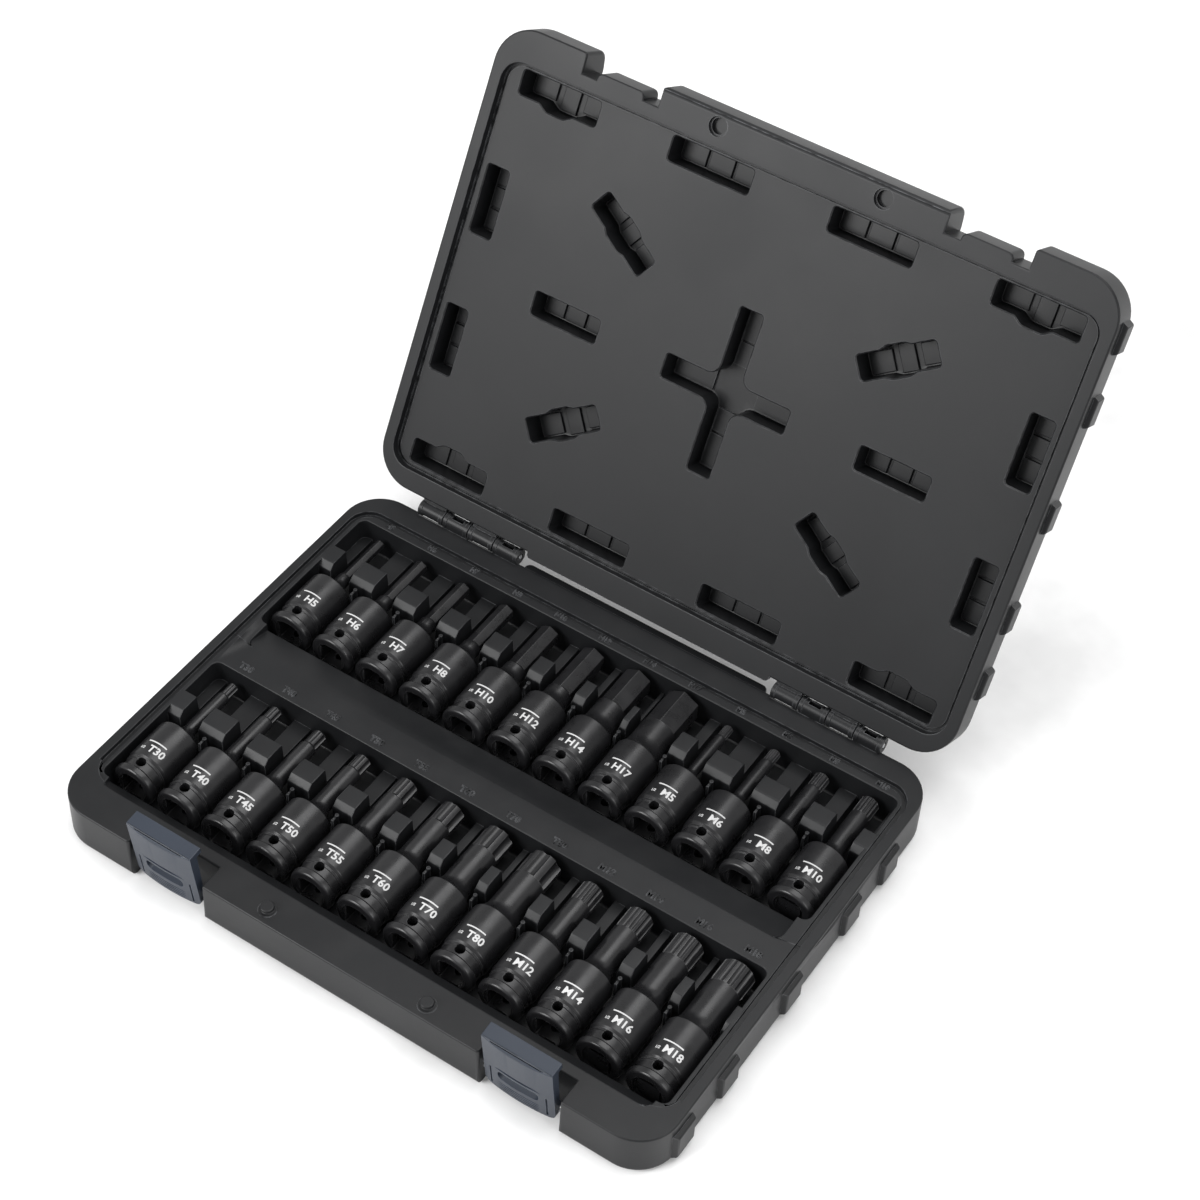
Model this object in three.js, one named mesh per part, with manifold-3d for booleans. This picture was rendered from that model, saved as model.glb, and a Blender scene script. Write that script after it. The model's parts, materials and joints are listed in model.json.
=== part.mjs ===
// A set of twenty-four impact bit sockets in a blow-moulded plastic case, with the lid open.
// Millimetres, +Z up. X runs along the latch side, -Y is the latch side and +Y the hinge side.
// The origin is at the middle of the base's underside.
import * as THREE from "three";
import { ConvexGeometry } from "three/addons/geometries/ConvexGeometry.js";
import { mergeVertices } from "three/addons/utils/BufferGeometryUtils.js";
import Module from "manifold-3d";

// ---------- Driving dimensions ----------

// Sockets: half-inch square drive, laid in two rows with their drive ends towards the latches
const socketsPerRow = 12;
const socketLength = 78;
const driveDiameter = 24.6;
const driveBodyLength = 36;
const shoulderLength = 6;
const driveChamfer = 1;
const squareAcross = 12.9;
const squareDepth = 16;
const crossHoleDiameter = 5;
const crossHoleFromEnd = 8;
const socketRoundSides = 16;
const tipTaper = 0.5; // how far a shank tapers into its tip, as a share of the shank's radius
const tipRootDepth = 6; // how far a tip's section runs on inside the shank
const starValley = 0.74; // a star tip's valleys, as a share of its outer radius
const splineValley = 0.86;
const socketSpacing = 2.4; // clear width between two drive bodies

// Tray
const floorThickness = 4.8;
const seatGap = 0.3; // every piece that rests on another keeps this gap
const drivesAboveRim = 2.9;
const roomAtDriveEnd = 5.9;
const roomAtTip = 3.3;
const wellCorner = 4;
const sideRim = 10;
const frontRim = 25.8;
const middleRidge = 33.8;
const backRim = 20.1;
const traySink = 1.2; // the tray's top lies this far below the parting plane
const frontScoopLength = 8; // the slope that leads a finger down to the front row's drive ends
const ridgeScoopLength = 17; // the same for the back row, on the middle ridge
const scoopDrop = 5;
const pegLength = 14.4;
const pegBehindShoulder = 1;
const pegSideGap = 1.6;
const pegBelowRim = 1;
const pegDraft = 0.8;
const pegFrontSlope = 3.2;
const stepHeight = 8;
const finSideGap = 0.4;
const finLength = 6;
const finBelowRim = 2;

// Case
const caseCorner = 21;
const baseEdge = 4; // rounding of the base's lower edge
const lidThickness = 22;
const lidEdge = 6;
const lidShortAtHinge = 3.5;
const beadFromFront = 17.6;
const beadFromSide = 6.5;
const beadFromBack = 14.5;
const beadCorner = 14;
const lidDishClearance = 1.6;
const lidOpenAngle = THREE.MathUtils.degToRad(118);
const ribPlaces = [19, 60, 117, 171, 207]; // middles of the side ribs, back from the case's front
const ribLength = 19;
const ribProud = 2.5;
const ribBelowRim = 6;
const ribFromEdge = 5; // from the case's outer face to a rib's end

// Locating pins on the base and their holes in the lid
const locatorDiameter = 7;
const locatorHeight = 3;
const locatorSpan = 91.2;
const locatorFromFront = 7.4;
const locatorClearance = 0.6;

// Hinges: two groups of four knuckles on steel pins
const hingeAboveRim = 2.8;
const hingeBehindCase = 1.9;
const knuckleRadius = 4.4;
const knuckleLength = 15.4;
const knuckleGap = 0.5;
const knucklesPerGroup = 4;
const hingeGroupFromSide = 63.7; // from the case's side to the middle of a hinge group
const hingePinDiameter = 3;
const pinClearance = 0.35; // all round a pin in its bore
const hingeSides = 16;
const pinSides = 8;
const locatorSides = 12;
const sweepClearance = 0.5; // between a knuckle and the notch it turns in

// Latches
const latchFromSide = 71; // from the case's side to the middle of a latch
const latchWidth = 38;
const latchSideGap = 3; // each side of the latch in its recess
const latchRecessDepth = 13.4;
const latchWall = 3;
const latchBulge = 1.6;
const latchHookThickness = 3.6;
const latchHookReach = 9.6;
const latchHookGap = 0.7;
const latchPivotFromFront = 5.5;
const latchPivotHeight = 11;
const latchBarrelRadius = 3.4;
const latchTail = 4; // the latch's skirt below its pivot
const latchPinDiameter = 3;
const latchPinBite = 4; // how far the pin goes into each recess wall
const latchRestTilt = THREE.MathUtils.degToRad(6);
const latchTabWidth = 27;
const latchTabHeight = 16.3;
const latchTabSetback = 6.6;
const latchNotchSetback = 10.6;
const hookPocketSetback = 17;

// Kiss-off pockets in the lid's inner panel
const pocketFloorSkin = 3;
const pocketWidth = 13;
const pocketLength = 46;
const sidePocketLength = 37;
const middlePocketLength = 39;
const diagonalPocketLength = 42;
const pocketRowFromBead = 9.6;
const pocketColumnFromBead = 11.5;
const cornerPocketFromBead = 31;
const sidePocketRows = 76;
const edgePocketSpan = 90;
const middlePocketSpan = 189;
const diagonalX = 78;
const diagonalY = 52;
const crossWidth = 13;
const crossLong = 88;
const crossShort = 71;
const pocketBlockRise = 1.2;
const pocketBlockMargin = 1.2;
const pocketBlockGap = 1.2;
const pocketWaist = 2.4; // how far the wide part of a bone-shaped pocket stands out
const waistFootShare = 0.24; // half of the wide part at its foot, as a share of the pocket's length
const waistTopShare = 0.1;

// The bits: tip kind, tip size, shank diameter and tip length
const backRow = [
  { name: "h5", kind: "hex", size: 5, shank: 7.5, tip: 30 },
  { name: "h6", kind: "hex", size: 6, shank: 8.5, tip: 30 },
  { name: "h7", kind: "hex", size: 7, shank: 9.5, tip: 30 },
  { name: "h8", kind: "hex", size: 8, shank: 10.5, tip: 30 },
  { name: "h10", kind: "hex", size: 10, shank: 12.5, tip: 30 },
  { name: "h12", kind: "hex", size: 12, shank: 14.5, tip: 30 },
  { name: "h14", kind: "hex", size: 14, shank: 17, tip: 24 },
  { name: "h17", kind: "hex", size: 17, shank: 20, tip: 22 },
  { name: "m5", kind: "spline", size: 5, shank: 6, tip: 8 },
  { name: "m6", kind: "spline", size: 6, shank: 7, tip: 8 },
  { name: "m8", kind: "spline", size: 8, shank: 8.5, tip: 9 },
  { name: "m10", kind: "spline", size: 10, shank: 10, tip: 10 },
];
const frontRow = [
  { name: "t30", kind: "star", size: 5.5, shank: 7, tip: 8 },
  { name: "t40", kind: "star", size: 6.7, shank: 8, tip: 8 },
  { name: "t45", kind: "star", size: 7.8, shank: 9, tip: 9 },
  { name: "t50", kind: "star", size: 8.8, shank: 10, tip: 9 },
  { name: "t55", kind: "star", size: 11.2, shank: 11.5, tip: 11 },
  { name: "t60", kind: "star", size: 13.2, shank: 13.5, tip: 12 },
  { name: "t70", kind: "star", size: 15.5, shank: 15.5, tip: 13 },
  { name: "t80", kind: "star", size: 17.5, shank: 17.5, tip: 14 },
  { name: "m12", kind: "spline", size: 12, shank: 12, tip: 11 },
  { name: "m14", kind: "spline", size: 14, shank: 14, tip: 12 },
  { name: "m16", kind: "spline", size: 16, shank: 16, tip: 13 },
  { name: "m18", kind: "spline", size: 18, shank: 18, tip: 13 },
];

// ---------- Worked-out places ----------

const driveRadius = driveDiameter / 2;
const pitch = driveDiameter + socketSpacing;
const wellWidth = socketsPerRow * pitch;
const wellDepth = roomAtDriveEnd + socketLength + roomAtTip;
const caseWidth = wellWidth + 2 * sideRim;
const caseDepth = frontRim + wellDepth + middleRidge + wellDepth + backRim;
const caseFront = -caseDepth / 2;
const caseBack = caseDepth / 2;
const socketAxis = floorThickness + seatGap + driveRadius;
const rim = socketAxis + driveRadius - drivesAboveRim;
const trayTop = rim - traySink;
const frontWellFront = caseFront + frontRim;
const backWellFront = frontWellFront + wellDepth + middleRidge;
const lidFront = caseFront;
const lidBack = caseBack - lidShortAtHinge;
const lidUnder = rim + seatGap;
const lidTop = rim + lidThickness;
const lidPanel = rim + drivesAboveRim + lidDishClearance;
const hingeY = caseBack + hingeBehindCase;
const hingeZ = rim + hingeAboveRim;
const beadFront = caseFront + beadFromFront;
const beadBack = caseBack - beadFromBack;
const beadSide = caseWidth / 2 - beadFromSide;
const panelMiddle = (beadFront + beadBack) / 2;
const hingeGroupCentre = caseWidth / 2 - hingeGroupFromSide;
const latchCentre = caseWidth / 2 - latchFromSide;
const latchRecessWidth = latchWidth + 2 * latchSideGap;
const latchPivotY = caseFront + latchPivotFromFront;
const tabTop = rim + latchTabHeight;
const hookUnder = tabTop + latchHookGap;
const overshoot = 2; // cutters run past the face they cut through by this much
const overlapIntoCase = 1; // joined pieces sink this far into what they stand on

// ---------- Solids ----------

const wasm = await Module();
wasm.setup();

function solid(geometry) {
  const bare = geometry.clone();
  bare.deleteAttribute("normal");
  bare.deleteAttribute("uv");
  const merged = mergeVertices(bare, 1e-4);
  return new wasm.Manifold(
    new wasm.Mesh({
      numProp: 3,
      vertProperties: merged.attributes.position.array,
      triVerts: new Uint32Array(merged.index.array),
    }),
  );
}

function geometryOf(made) {
  const data = made.getMesh();
  const geometry = new THREE.BufferGeometry();
  geometry.setAttribute("position", new THREE.BufferAttribute(data.vertProperties, 3));
  geometry.setIndex(new THREE.BufferAttribute(data.triVerts, 1));
  geometry.computeVertexNormals();
  return geometry;
}

function join(pieces) {
  return pieces.reduce((whole, piece) => whole.add(piece));
}

function cut(body, cutters) {
  return cutters.reduce((left, cutter) => left.subtract(cutter), body);
}

// A box from its lowest to its highest corner.
function box([x0, y0, z0], [x1, y1, z1]) {
  const geometry = new THREE.BoxGeometry(x1 - x0, y1 - y0, z1 - z0);
  return solid(geometry.translate((x0 + x1) / 2, (y0 + y1) / 2, (z0 + z1) / 2));
}

// A rounded rectangle as a closed outline.
function roundedOutline(x0, x1, y0, y1, radius) {
  const shape = new THREE.Shape();
  const quarter = Math.PI / 2;
  shape.absarc(x1 - radius, y1 - radius, radius, 0, quarter);
  shape.absarc(x0 + radius, y1 - radius, radius, quarter, 2 * quarter);
  shape.absarc(x0 + radius, y0 + radius, radius, 2 * quarter, 3 * quarter);
  shape.absarc(x1 - radius, y0 + radius, radius, 3 * quarter, 4 * quarter);
  return shape;
}

function slab(shape, z0, z1, curveSegments = 4) {
  const geometry = new THREE.ExtrudeGeometry(shape, { depth: z1 - z0, bevelEnabled: false, curveSegments });
  return solid(geometry.translate(0, 0, z0));
}

// A slab whose lower and upper edges are rounded inwards.
function softSlab(shape, z0, z1, edge) {
  const geometry = new THREE.ExtrudeGeometry(shape, {
    depth: z1 - z0 - 2 * edge,
    bevelSize: edge,
    bevelThickness: edge,
    bevelOffset: -edge,
    bevelSegments: 3,
    curveSegments: 6,
  });
  return solid(geometry.translate(0, 0, z0 + edge));
}

// A cylinder along X between two places.
function barAlongX(x0, x1, y, z, radius, sides) {
  const geometry = new THREE.CylinderGeometry(radius, radius, x1 - x0, sides);
  return solid(geometry.rotateZ(Math.PI / 2).translate((x0 + x1) / 2, y, z));
}

// A cylinder along Z between two heights.
function barAlongZ(x, y, z0, z1, radius, sides) {
  const geometry = new THREE.CylinderGeometry(radius, radius, z1 - z0, sides);
  return solid(geometry.rotateX(Math.PI / 2).translate(x, y, (z0 + z1) / 2));
}

// A block that narrows upwards by its draft, with a longer slope on its front.
function peg(x, y0, y1, z0, z1, width, frontSlope) {
  const corners = [];
  for (const side of [-1, 1]) {
    corners.push(new THREE.Vector3(x + side * (width / 2 + pegDraft), y0, z0));
    corners.push(new THREE.Vector3(x + side * (width / 2 + pegDraft), y1 + pegDraft, z0));
    corners.push(new THREE.Vector3(x + (side * width) / 2, y0, z1 - frontSlope));
    corners.push(new THREE.Vector3(x + (side * width) / 2, y0 + frontSlope, z1));
    corners.push(new THREE.Vector3(x + (side * width) / 2, y1, z1));
  }
  return solid(new ConvexGeometry(corners));
}

// ---------- Case pieces ----------

function ribs(z0, z1) {
  const made = [];
  for (const place of ribPlaces) {
    const y = caseFront + place;
    for (const side of [-1, 1]) {
      const inner = side * (caseWidth / 2 - baseEdge);
      const outer = side * (caseWidth / 2 + ribProud);
      made.push(
        box(
          [Math.min(inner, outer), y - ribLength / 2, z0],
          [Math.max(inner, outer), y + ribLength / 2, z1],
        ),
      );
    }
  }
  return made;
}

// The middle of knuckle number i in the group on one side.
function knuckleX(side, i) {
  return side * hingeGroupCentre + (i - (knucklesPerGroup - 1) / 2) * (knuckleLength + knuckleGap);
}

// The base's knuckles are numbers 1 and 3 of each group, and the lid's are 0 and 2.
function knuckles(first, armTo, armLow, armHigh) {
  const made = [];
  for (const side of [-1, 1]) {
    for (let i = first; i < knucklesPerGroup; i += 2) {
      const x0 = knuckleX(side, i) - knuckleLength / 2;
      const x1 = x0 + knuckleLength;
      made.push(barAlongX(x0, x1, hingeY, hingeZ, knuckleRadius, hingeSides));
      made.push(box([x0, armTo, armLow], [x1, hingeY, armHigh]));
    }
  }
  return made;
}

function hingeBores() {
  const reach = (knucklesPerGroup * (knuckleLength + knuckleGap)) / 2 + overshoot;
  const radius = hingePinDiameter / 2 + pinClearance;
  return [-1, 1].map((side) => {
    const x = side * hingeGroupCentre;
    return barAlongX(x - reach, x + reach, hingeY, hingeZ, radius, pinSides);
  });
}

function knuckleNotches(first) {
  const made = [];
  for (const side of [-1, 1]) {
    for (let i = first; i < knucklesPerGroup; i += 2) {
      const x0 = knuckleX(side, i) - knuckleLength / 2 - knuckleGap;
      const x1 = x0 + knuckleLength + 2 * knuckleGap;
      made.push(barAlongX(x0, x1, hingeY, hingeZ, knuckleRadius + sweepClearance, hingeSides));
    }
  }
  return made;
}

function well(front) {
  const outline = roundedOutline(-wellWidth / 2, wellWidth / 2, front, front + wellDepth, wellCorner);
  return slab(outline, floorThickness, rim + overshoot, 3);
}

// The slope in front of a well, as long as asked, that ends at the well's edge.
function scoop(front, length) {
  const half = wellWidth / 2 - wellCorner;
  const corners = [];
  for (const x of [-half, half]) {
    corners.push(new THREE.Vector3(x, front - length, trayTop));
    corners.push(new THREE.Vector3(x, front - length, rim + overshoot));
    corners.push(new THREE.Vector3(x, front + overshoot, trayTop - scoopDrop));
    corners.push(new THREE.Vector3(x, front + overshoot, rim + overshoot));
  }
  return solid(new ConvexGeometry(corners));
}

// The pegs that keep the shanks of one row apart, the low steps behind them and the fins between drives.
function rowPegs(front, row) {
  const made = [];
  const pegFront = front + roomAtDriveEnd + driveBodyLength + shoulderLength + pegBehindShoulder;
  const pegBack = pegFront + pegLength;
  const foot = floorThickness - overlapIntoCase;
  const wellSide = wellWidth / 2;
  for (let i = 0; i <= row.length; i++) {
    const left = i === 0 ? -wellSide : socketX(i - 1) + row[i - 1].shank / 2 + pegSideGap + pegDraft;
    const right = i === row.length ? wellSide : socketX(i) - row[i].shank / 2 - pegSideGap - pegDraft;
    const x = (left + right) / 2;
    const width = right - left;
    made.push(peg(x, pegFront, pegBack, foot, rim - pegBelowRim, width, pegFrontSlope));
    made.push(peg(x, pegBack, front + wellDepth, foot, floorThickness + stepHeight, width, 0));
  }
  const finBack = front + roomAtDriveEnd + driveBodyLength + shoulderLength / 2;
  for (let i = 1; i < row.length; i++) {
    const x = (socketX(i - 1) + socketX(i)) / 2;
    const half = socketSpacing / 2 - finSideGap;
    made.push(box([x - half, finBack - finLength, foot], [x + half, finBack, rim - finBelowRim]));
  }
  return made;
}

function latchRecess(side) {
  const x = side * latchCentre;
  const half = latchRecessWidth / 2;
  return box(
    [x - half, caseFront - overshoot, -overshoot],
    [x + half, caseFront + latchRecessDepth, rim + overshoot],
  );
}

function latchPinBore(side) {
  const x = side * latchCentre;
  const half = latchRecessWidth / 2 + latchPinBite + seatGap;
  const radius = latchPinDiameter / 2 + pinClearance;
  return barAlongX(x - half, x + half, latchPivotY, latchPivotHeight, radius, pinSides);
}

function baseShell() {
  const outline = roundedOutline(-caseWidth / 2, caseWidth / 2, caseFront, caseBack, caseCorner);
  const below = box([-caseWidth, -caseDepth, 0], [caseWidth, caseDepth, rim]);
  const block = softSlab(outline, 0, rim + 2 * baseEdge, baseEdge).intersect(below);
  const trayOutline = roundedOutline(-beadSide, beadSide, beadFront, beadBack, beadCorner);
  const shell = cut(join([block, ...ribs(ribFromEdge, rim - ribBelowRim)]), [
    slab(trayOutline, trayTop, rim + overshoot),
    well(frontWellFront),
    well(backWellFront),
    scoop(frontWellFront, frontScoopLength),
    scoop(backWellFront, ridgeScoopLength),
    latchRecess(-1),
    latchRecess(1),
    latchPinBore(-1),
    latchPinBore(1),
    ...knuckleNotches(0),
  ]);
  const trayHalf = wellWidth / 2 + overlapIntoCase;
  const trayLimit = box([-trayHalf, caseFront, 0], [trayHalf, caseBack, rim]);
  const pegs = join([...rowPegs(frontWellFront, frontRow), ...rowPegs(backWellFront, backRow)]);
  const locators = [-1, 1].map((side) => {
    const y = caseFront + locatorFromFront;
    const x = (side * locatorSpan) / 2;
    return barAlongZ(x, y, rim - overlapIntoCase, rim + locatorHeight, locatorDiameter / 2, locatorSides);
  });
  const whole = join([
    shell,
    pegs.intersect(trayLimit),
    ...locators,
    ...knuckles(1, caseBack - overlapIntoCase, rim - knuckleRadius, hingeZ),
  ]);
  return cut(whole, hingeBores());
}

// A pocket's outline: a plain slot, or a slot with a wide waist on one side or on both, like a bone.
function pocketOutline(length, width, lowWaist, highWaist) {
  const shape = new THREE.Shape();
  const half = length / 2;
  const side = width / 2;
  const waistFoot = length * waistFootShare;
  const waistTop = length * waistTopShare;
  shape.moveTo(-half, -side);
  if (lowWaist) {
    shape.lineTo(-waistFoot, -side);
    shape.lineTo(-waistTop, -side - lowWaist);
    shape.lineTo(waistTop, -side - lowWaist);
    shape.lineTo(waistFoot, -side);
  }
  shape.lineTo(half, -side);
  shape.lineTo(half, side);
  if (highWaist) {
    shape.lineTo(waistFoot, side);
    shape.lineTo(waistTop, side + highWaist);
    shape.lineTo(-waistTop, side + highWaist);
    shape.lineTo(-waistFoot, side);
  }
  shape.lineTo(-half, side);
  shape.closePath();
  return shape;
}

// One pocket cut from the parting side of the closed lid, and the low pads on its floor.
function pocket(x, y, length, angle, lowWaist = 0, highWaist = 0) {
  const turn = (geometry) => geometry.rotateZ(angle).translate(x, y, 0);
  const floor = lidTop - pocketFloorSkin;
  const hole = new THREE.ExtrudeGeometry(pocketOutline(length, pocketWidth, lowWaist, highWaist), {
    depth: floor - rim + overshoot,
    bevelEnabled: false,
  });
  const padLength = (length - 2 * pocketBlockMargin - 2 * pocketBlockGap) / 3;
  const padHigh = pocketBlockRise + overlapIntoCase;
  const pads = [-1, 0, 1].map((place) => {
    const geometry = new THREE.BoxGeometry(padLength, pocketWidth - 2 * pocketBlockMargin, padHigh);
    geometry.translate(place * (padLength + pocketBlockGap), 0, floor - pocketBlockRise + padHigh / 2);
    return solid(turn(geometry));
  });
  return { hole: solid(turn(hole.translate(0, 0, rim - overshoot))), pads };
}

function lidPockets() {
  const made = [];
  const middle = panelMiddle;
  const quarter = Math.PI / 2;
  for (const side of [-1, 1]) {
    for (const end of [-1, 1]) {
      const rowY = end > 0 ? beadBack - pocketRowFromBead : beadFront + pocketRowFromBead;
      const diagonal = Math.atan2(end * diagonalY, side * diagonalX);
      const cornerX = side * (beadSide - cornerPocketFromBead);
      const inward = end > 0 ? 0 : 2 * quarter;
      made.push(pocket(cornerX, rowY, pocketLength, inward, pocketWaist));
      made.push(pocket((side * edgePocketSpan) / 2, rowY, pocketLength, 0));
      const columnX = side * (beadSide - pocketColumnFromBead);
      made.push(pocket(columnX, middle + (end * sidePocketRows) / 2, sidePocketLength, quarter));
      const diagonalPlace = [side * diagonalX, middle + end * diagonalY];
      made.push(pocket(...diagonalPlace, diagonalPocketLength, diagonal, pocketWaist / 2, pocketWaist / 2));
    }
    made.push(pocket((side * middlePocketSpan) / 2, middle, middlePocketLength, 0));
  }
  return made;
}

function lidShell() {
  const outline = roundedOutline(-caseWidth / 2, caseWidth / 2, lidFront, lidBack, caseCorner);
  const above = box([-caseWidth, -caseDepth, lidUnder], [caseWidth, caseDepth, lidTop + overshoot]);
  const block = softSlab(outline, lidUnder - 2 * lidEdge, lidTop, lidEdge).intersect(above);
  const panelOutline = roundedOutline(-beadSide, beadSide, beadFront, beadBack, beadCorner);
  const dish = slab(panelOutline, rim - overshoot, lidPanel);
  const pockets = lidPockets();
  const crossDeep = lidTop - pocketFloorSkin;
  const cross = [
    box(
      [-crossShort / 2, panelMiddle - crossWidth / 2, rim - overshoot],
      [crossShort / 2, panelMiddle + crossWidth / 2, crossDeep],
    ),
    box(
      [-crossWidth / 2, panelMiddle - crossLong / 2, rim - overshoot],
      [crossWidth / 2, panelMiddle + crossLong / 2, crossDeep],
    ),
  ];
  const locatorHoles = [-1, 1].map((side) => {
    const radius = locatorDiameter / 2 + locatorClearance;
    const y = caseFront + locatorFromFront;
    const top = rim + locatorHeight + locatorClearance;
    return barAlongZ((side * locatorSpan) / 2, y, rim - overshoot, top, radius, locatorSides);
  });
  const recessHalf = latchRecessWidth / 2;
  const recesses = [-1, 1].flatMap((side) => {
    const x = side * latchCentre;
    return [
      box(
        [x - recessHalf, lidFront - overshoot, rim - overshoot],
        [x + recessHalf, lidFront + latchNotchSetback, lidTop + overshoot],
      ),
      box(
        [x - recessHalf, lidFront - overshoot, tabTop],
        [x + recessHalf, lidFront + hookPocketSetback, lidTop + overshoot],
      ),
    ];
  });
  const tabs = [-1, 1].map((side) => {
    const x = side * latchCentre;
    const half = latchTabWidth / 2;
    return box(
      [x - half, lidFront + latchTabSetback, lidUnder],
      [x + half, lidFront + hookPocketSetback, tabTop],
    );
  });
  const shell = cut(join([block, ...ribs(lidUnder + ribBelowRim, lidTop - ribFromEdge)]), [
    dish,
    ...pockets.map((each) => each.hole),
    ...cross,
    ...locatorHoles,
    ...recesses,
  ]);
  const arms = knuckles(0, lidBack - overlapIntoCase, lidUnder + overlapIntoCase, hingeZ + knuckleRadius);
  const whole = join([shell, ...pockets.flatMap((each) => each.pads), ...tabs, ...arms]);
  return cut(whole, hingeBores());
}

function hingePin(side) {
  const half = (knucklesPerGroup * (knuckleLength + knuckleGap) - knuckleGap) / 2;
  const x = side * hingeGroupCentre;
  return barAlongX(x - half, x + half, hingeY, hingeZ, hingePinDiameter / 2, pinSides);
}

// A latch upright and shut, drawn about its pivot: a bowed front wall, a hook at the top and a barrel.
function latch() {
  const front = -latchPivotFromFront;
  const top = hookUnder + latchHookThickness - latchPivotHeight;
  const under = hookUnder - latchPivotHeight;
  const half = latchWidth / 2;
  const bow = new THREE.Shape();
  bow.moveTo(-half, front + latchWall + latchBulge);
  bow.lineTo(-half, front + latchBulge);
  bow.quadraticCurveTo(0, front - latchBulge, half, front + latchBulge);
  bow.lineTo(half, front + latchWall + latchBulge);
  bow.closePath();
  const wall = slab(bow, -latchTail, top, 6);
  const hook = box(
    [-half, front + latchWall, under],
    [half, front + latchHookReach, top],
  );
  const barrel = barAlongX(-half, half, 0, 0, latchBarrelRadius, locatorSides);
  const web = box([-half, front + latchWall, -latchBarrelRadius], [half, 0, latchBarrelRadius]);
  const reach = half + overshoot;
  const bore = barAlongX(-reach, reach, 0, 0, latchPinDiameter / 2 + pinClearance, pinSides);
  return cut(join([wall, hook, barrel, web]), [bore]);
}

function latchPin(side) {
  const half = latchRecessWidth / 2 + latchPinBite;
  const x = side * latchCentre;
  return barAlongX(x - half, x + half, latchPivotY, latchPivotHeight, latchPinDiameter / 2, pinSides);
}

// ---------- Sockets ----------

function socketX(i) {
  return (i - (socketsPerRow - 1) / 2) * pitch;
}

// The cross-section of a tip: a hexagon, a six-lobed star or a twelve-pointed spline.
function tipOutline(kind, size) {
  const points = { hex: 6, star: 12, spline: 24 }[kind];
  const outer = kind === "hex" ? size / 2 / Math.cos(Math.PI / 6) : size / 2;
  const inner = { hex: outer, star: outer * starValley, spline: outer * splineValley }[kind];
  const shape = new THREE.Shape();
  for (let i = 0; i < points; i++) {
    const radius = i % 2 === 0 ? outer : inner;
    const angle = (i * 2 * Math.PI) / points;
    if (i === 0) shape.moveTo(radius, 0);
    else shape.lineTo(radius * Math.cos(angle), radius * Math.sin(angle));
  }
  shape.closePath();
  return shape;
}

// A bit socket along +Y with its drive end at the origin.
function bitSocket(bit) {
  const shankEnd = socketLength - bit.tip;
  const shank = bit.shank / 2;
  const profile = [
    [0, 0],
    [driveRadius - driveChamfer, 0],
    [driveRadius, driveChamfer],
    [driveRadius, driveBodyLength],
    [shank, driveBodyLength + shoulderLength],
    [shank, shankEnd],
    [0, shankEnd + shank * tipTaper],
  ];
  const round = new THREE.LatheGeometry(
    profile.map(([r, y]) => new THREE.Vector2(r, y)),
    socketRoundSides,
  );
  const tipLength = bit.tip + tipRootDepth;
  const tip = new THREE.ExtrudeGeometry(tipOutline(bit.kind, bit.size), {
    depth: tipLength,
    bevelEnabled: false,
  });
  tip.rotateX(-Math.PI / 2).translate(0, socketLength - tipLength, 0);
  const half = squareAcross / 2;
  const square = box([-half, -overshoot, -half], [half, squareDepth, half]);
  const holeRadius = crossHoleDiameter / 2;
  const crossHole = barAlongZ(0, crossHoleFromEnd, -driveDiameter, driveDiameter, holeRadius, pinSides);
  return cut(join([solid(round), solid(tip)]), [square, crossHole]);
}

// ---------- Materials ----------

const casePlastic = { color: 0x2b2c2e, roughness: 0.55, metalness: 0 };
const latchPlastic = { color: 0x4b525f, roughness: 0.45, metalness: 0 };
const blackSteel = { color: 0x1c1d1f, roughness: 0.38, metalness: 0.75 };
const pinSteel = { color: 0x8d9094, roughness: 0.35, metalness: 1 };

function piece(name, made, look) {
  const mesh = new THREE.Mesh(geometryOf(made), new THREE.MeshStandardMaterial(look));
  mesh.name = name;
  return mesh;
}

// ---------- Assembly ----------

const socketSet = new THREE.Group();
socketSet.add(piece("base_shell", baseShell(), casePlastic));

// The lid is drawn shut and turns about the hinge line.
const lidTurn = new THREE.Group();
lidTurn.position.set(0, hingeY, hingeZ);
lidTurn.rotation.x = -lidOpenAngle;
const lid = piece("lid_shell", lidShell(), casePlastic);
lid.position.set(0, -hingeY, -hingeZ);
lidTurn.add(lid);
socketSet.add(lidTurn);

for (const [name, side] of [["left", -1], ["right", 1]]) {
  socketSet.add(piece(`hinge_pin_${name}`, hingePin(side), pinSteel));
  socketSet.add(piece(`latch_pin_${name}`, latchPin(side), pinSteel));
  const latchTurn = new THREE.Group();
  latchTurn.position.set(side * latchCentre, latchPivotY, latchPivotHeight);
  latchTurn.rotation.x = latchRestTilt;
  latchTurn.add(piece(`latch_${name}`, latch(), latchPlastic));
  socketSet.add(latchTurn);
}

for (const [row, front] of [[frontRow, frontWellFront], [backRow, backWellFront]]) {
  row.forEach((bit, i) => {
    const socket = piece(`socket_${bit.name}`, bitSocket(bit), blackSteel);
    socket.position.set(socketX(i), front + roomAtDriveEnd, socketAxis);
    socketSet.add(socket);
  });
}

export default socketSet;
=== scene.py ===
# %% [markdown]
# # Twenty-four impact bit sockets in a blow-moulded case
# The case is two plastic halves on a pair of knuckle hinges, held shut by two latches.
# Inside, two rows of black steel bit sockets lie in wells, with pegs that keep their shanks apart.
# Every size below is in metres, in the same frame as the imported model, so nothing has to be fitted later.
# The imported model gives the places: a node's box, a joint's pivot. The named values add the fine detail.

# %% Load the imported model
import json
import math

import bpy
from mathutils import Euler, Matrix, Vector


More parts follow.
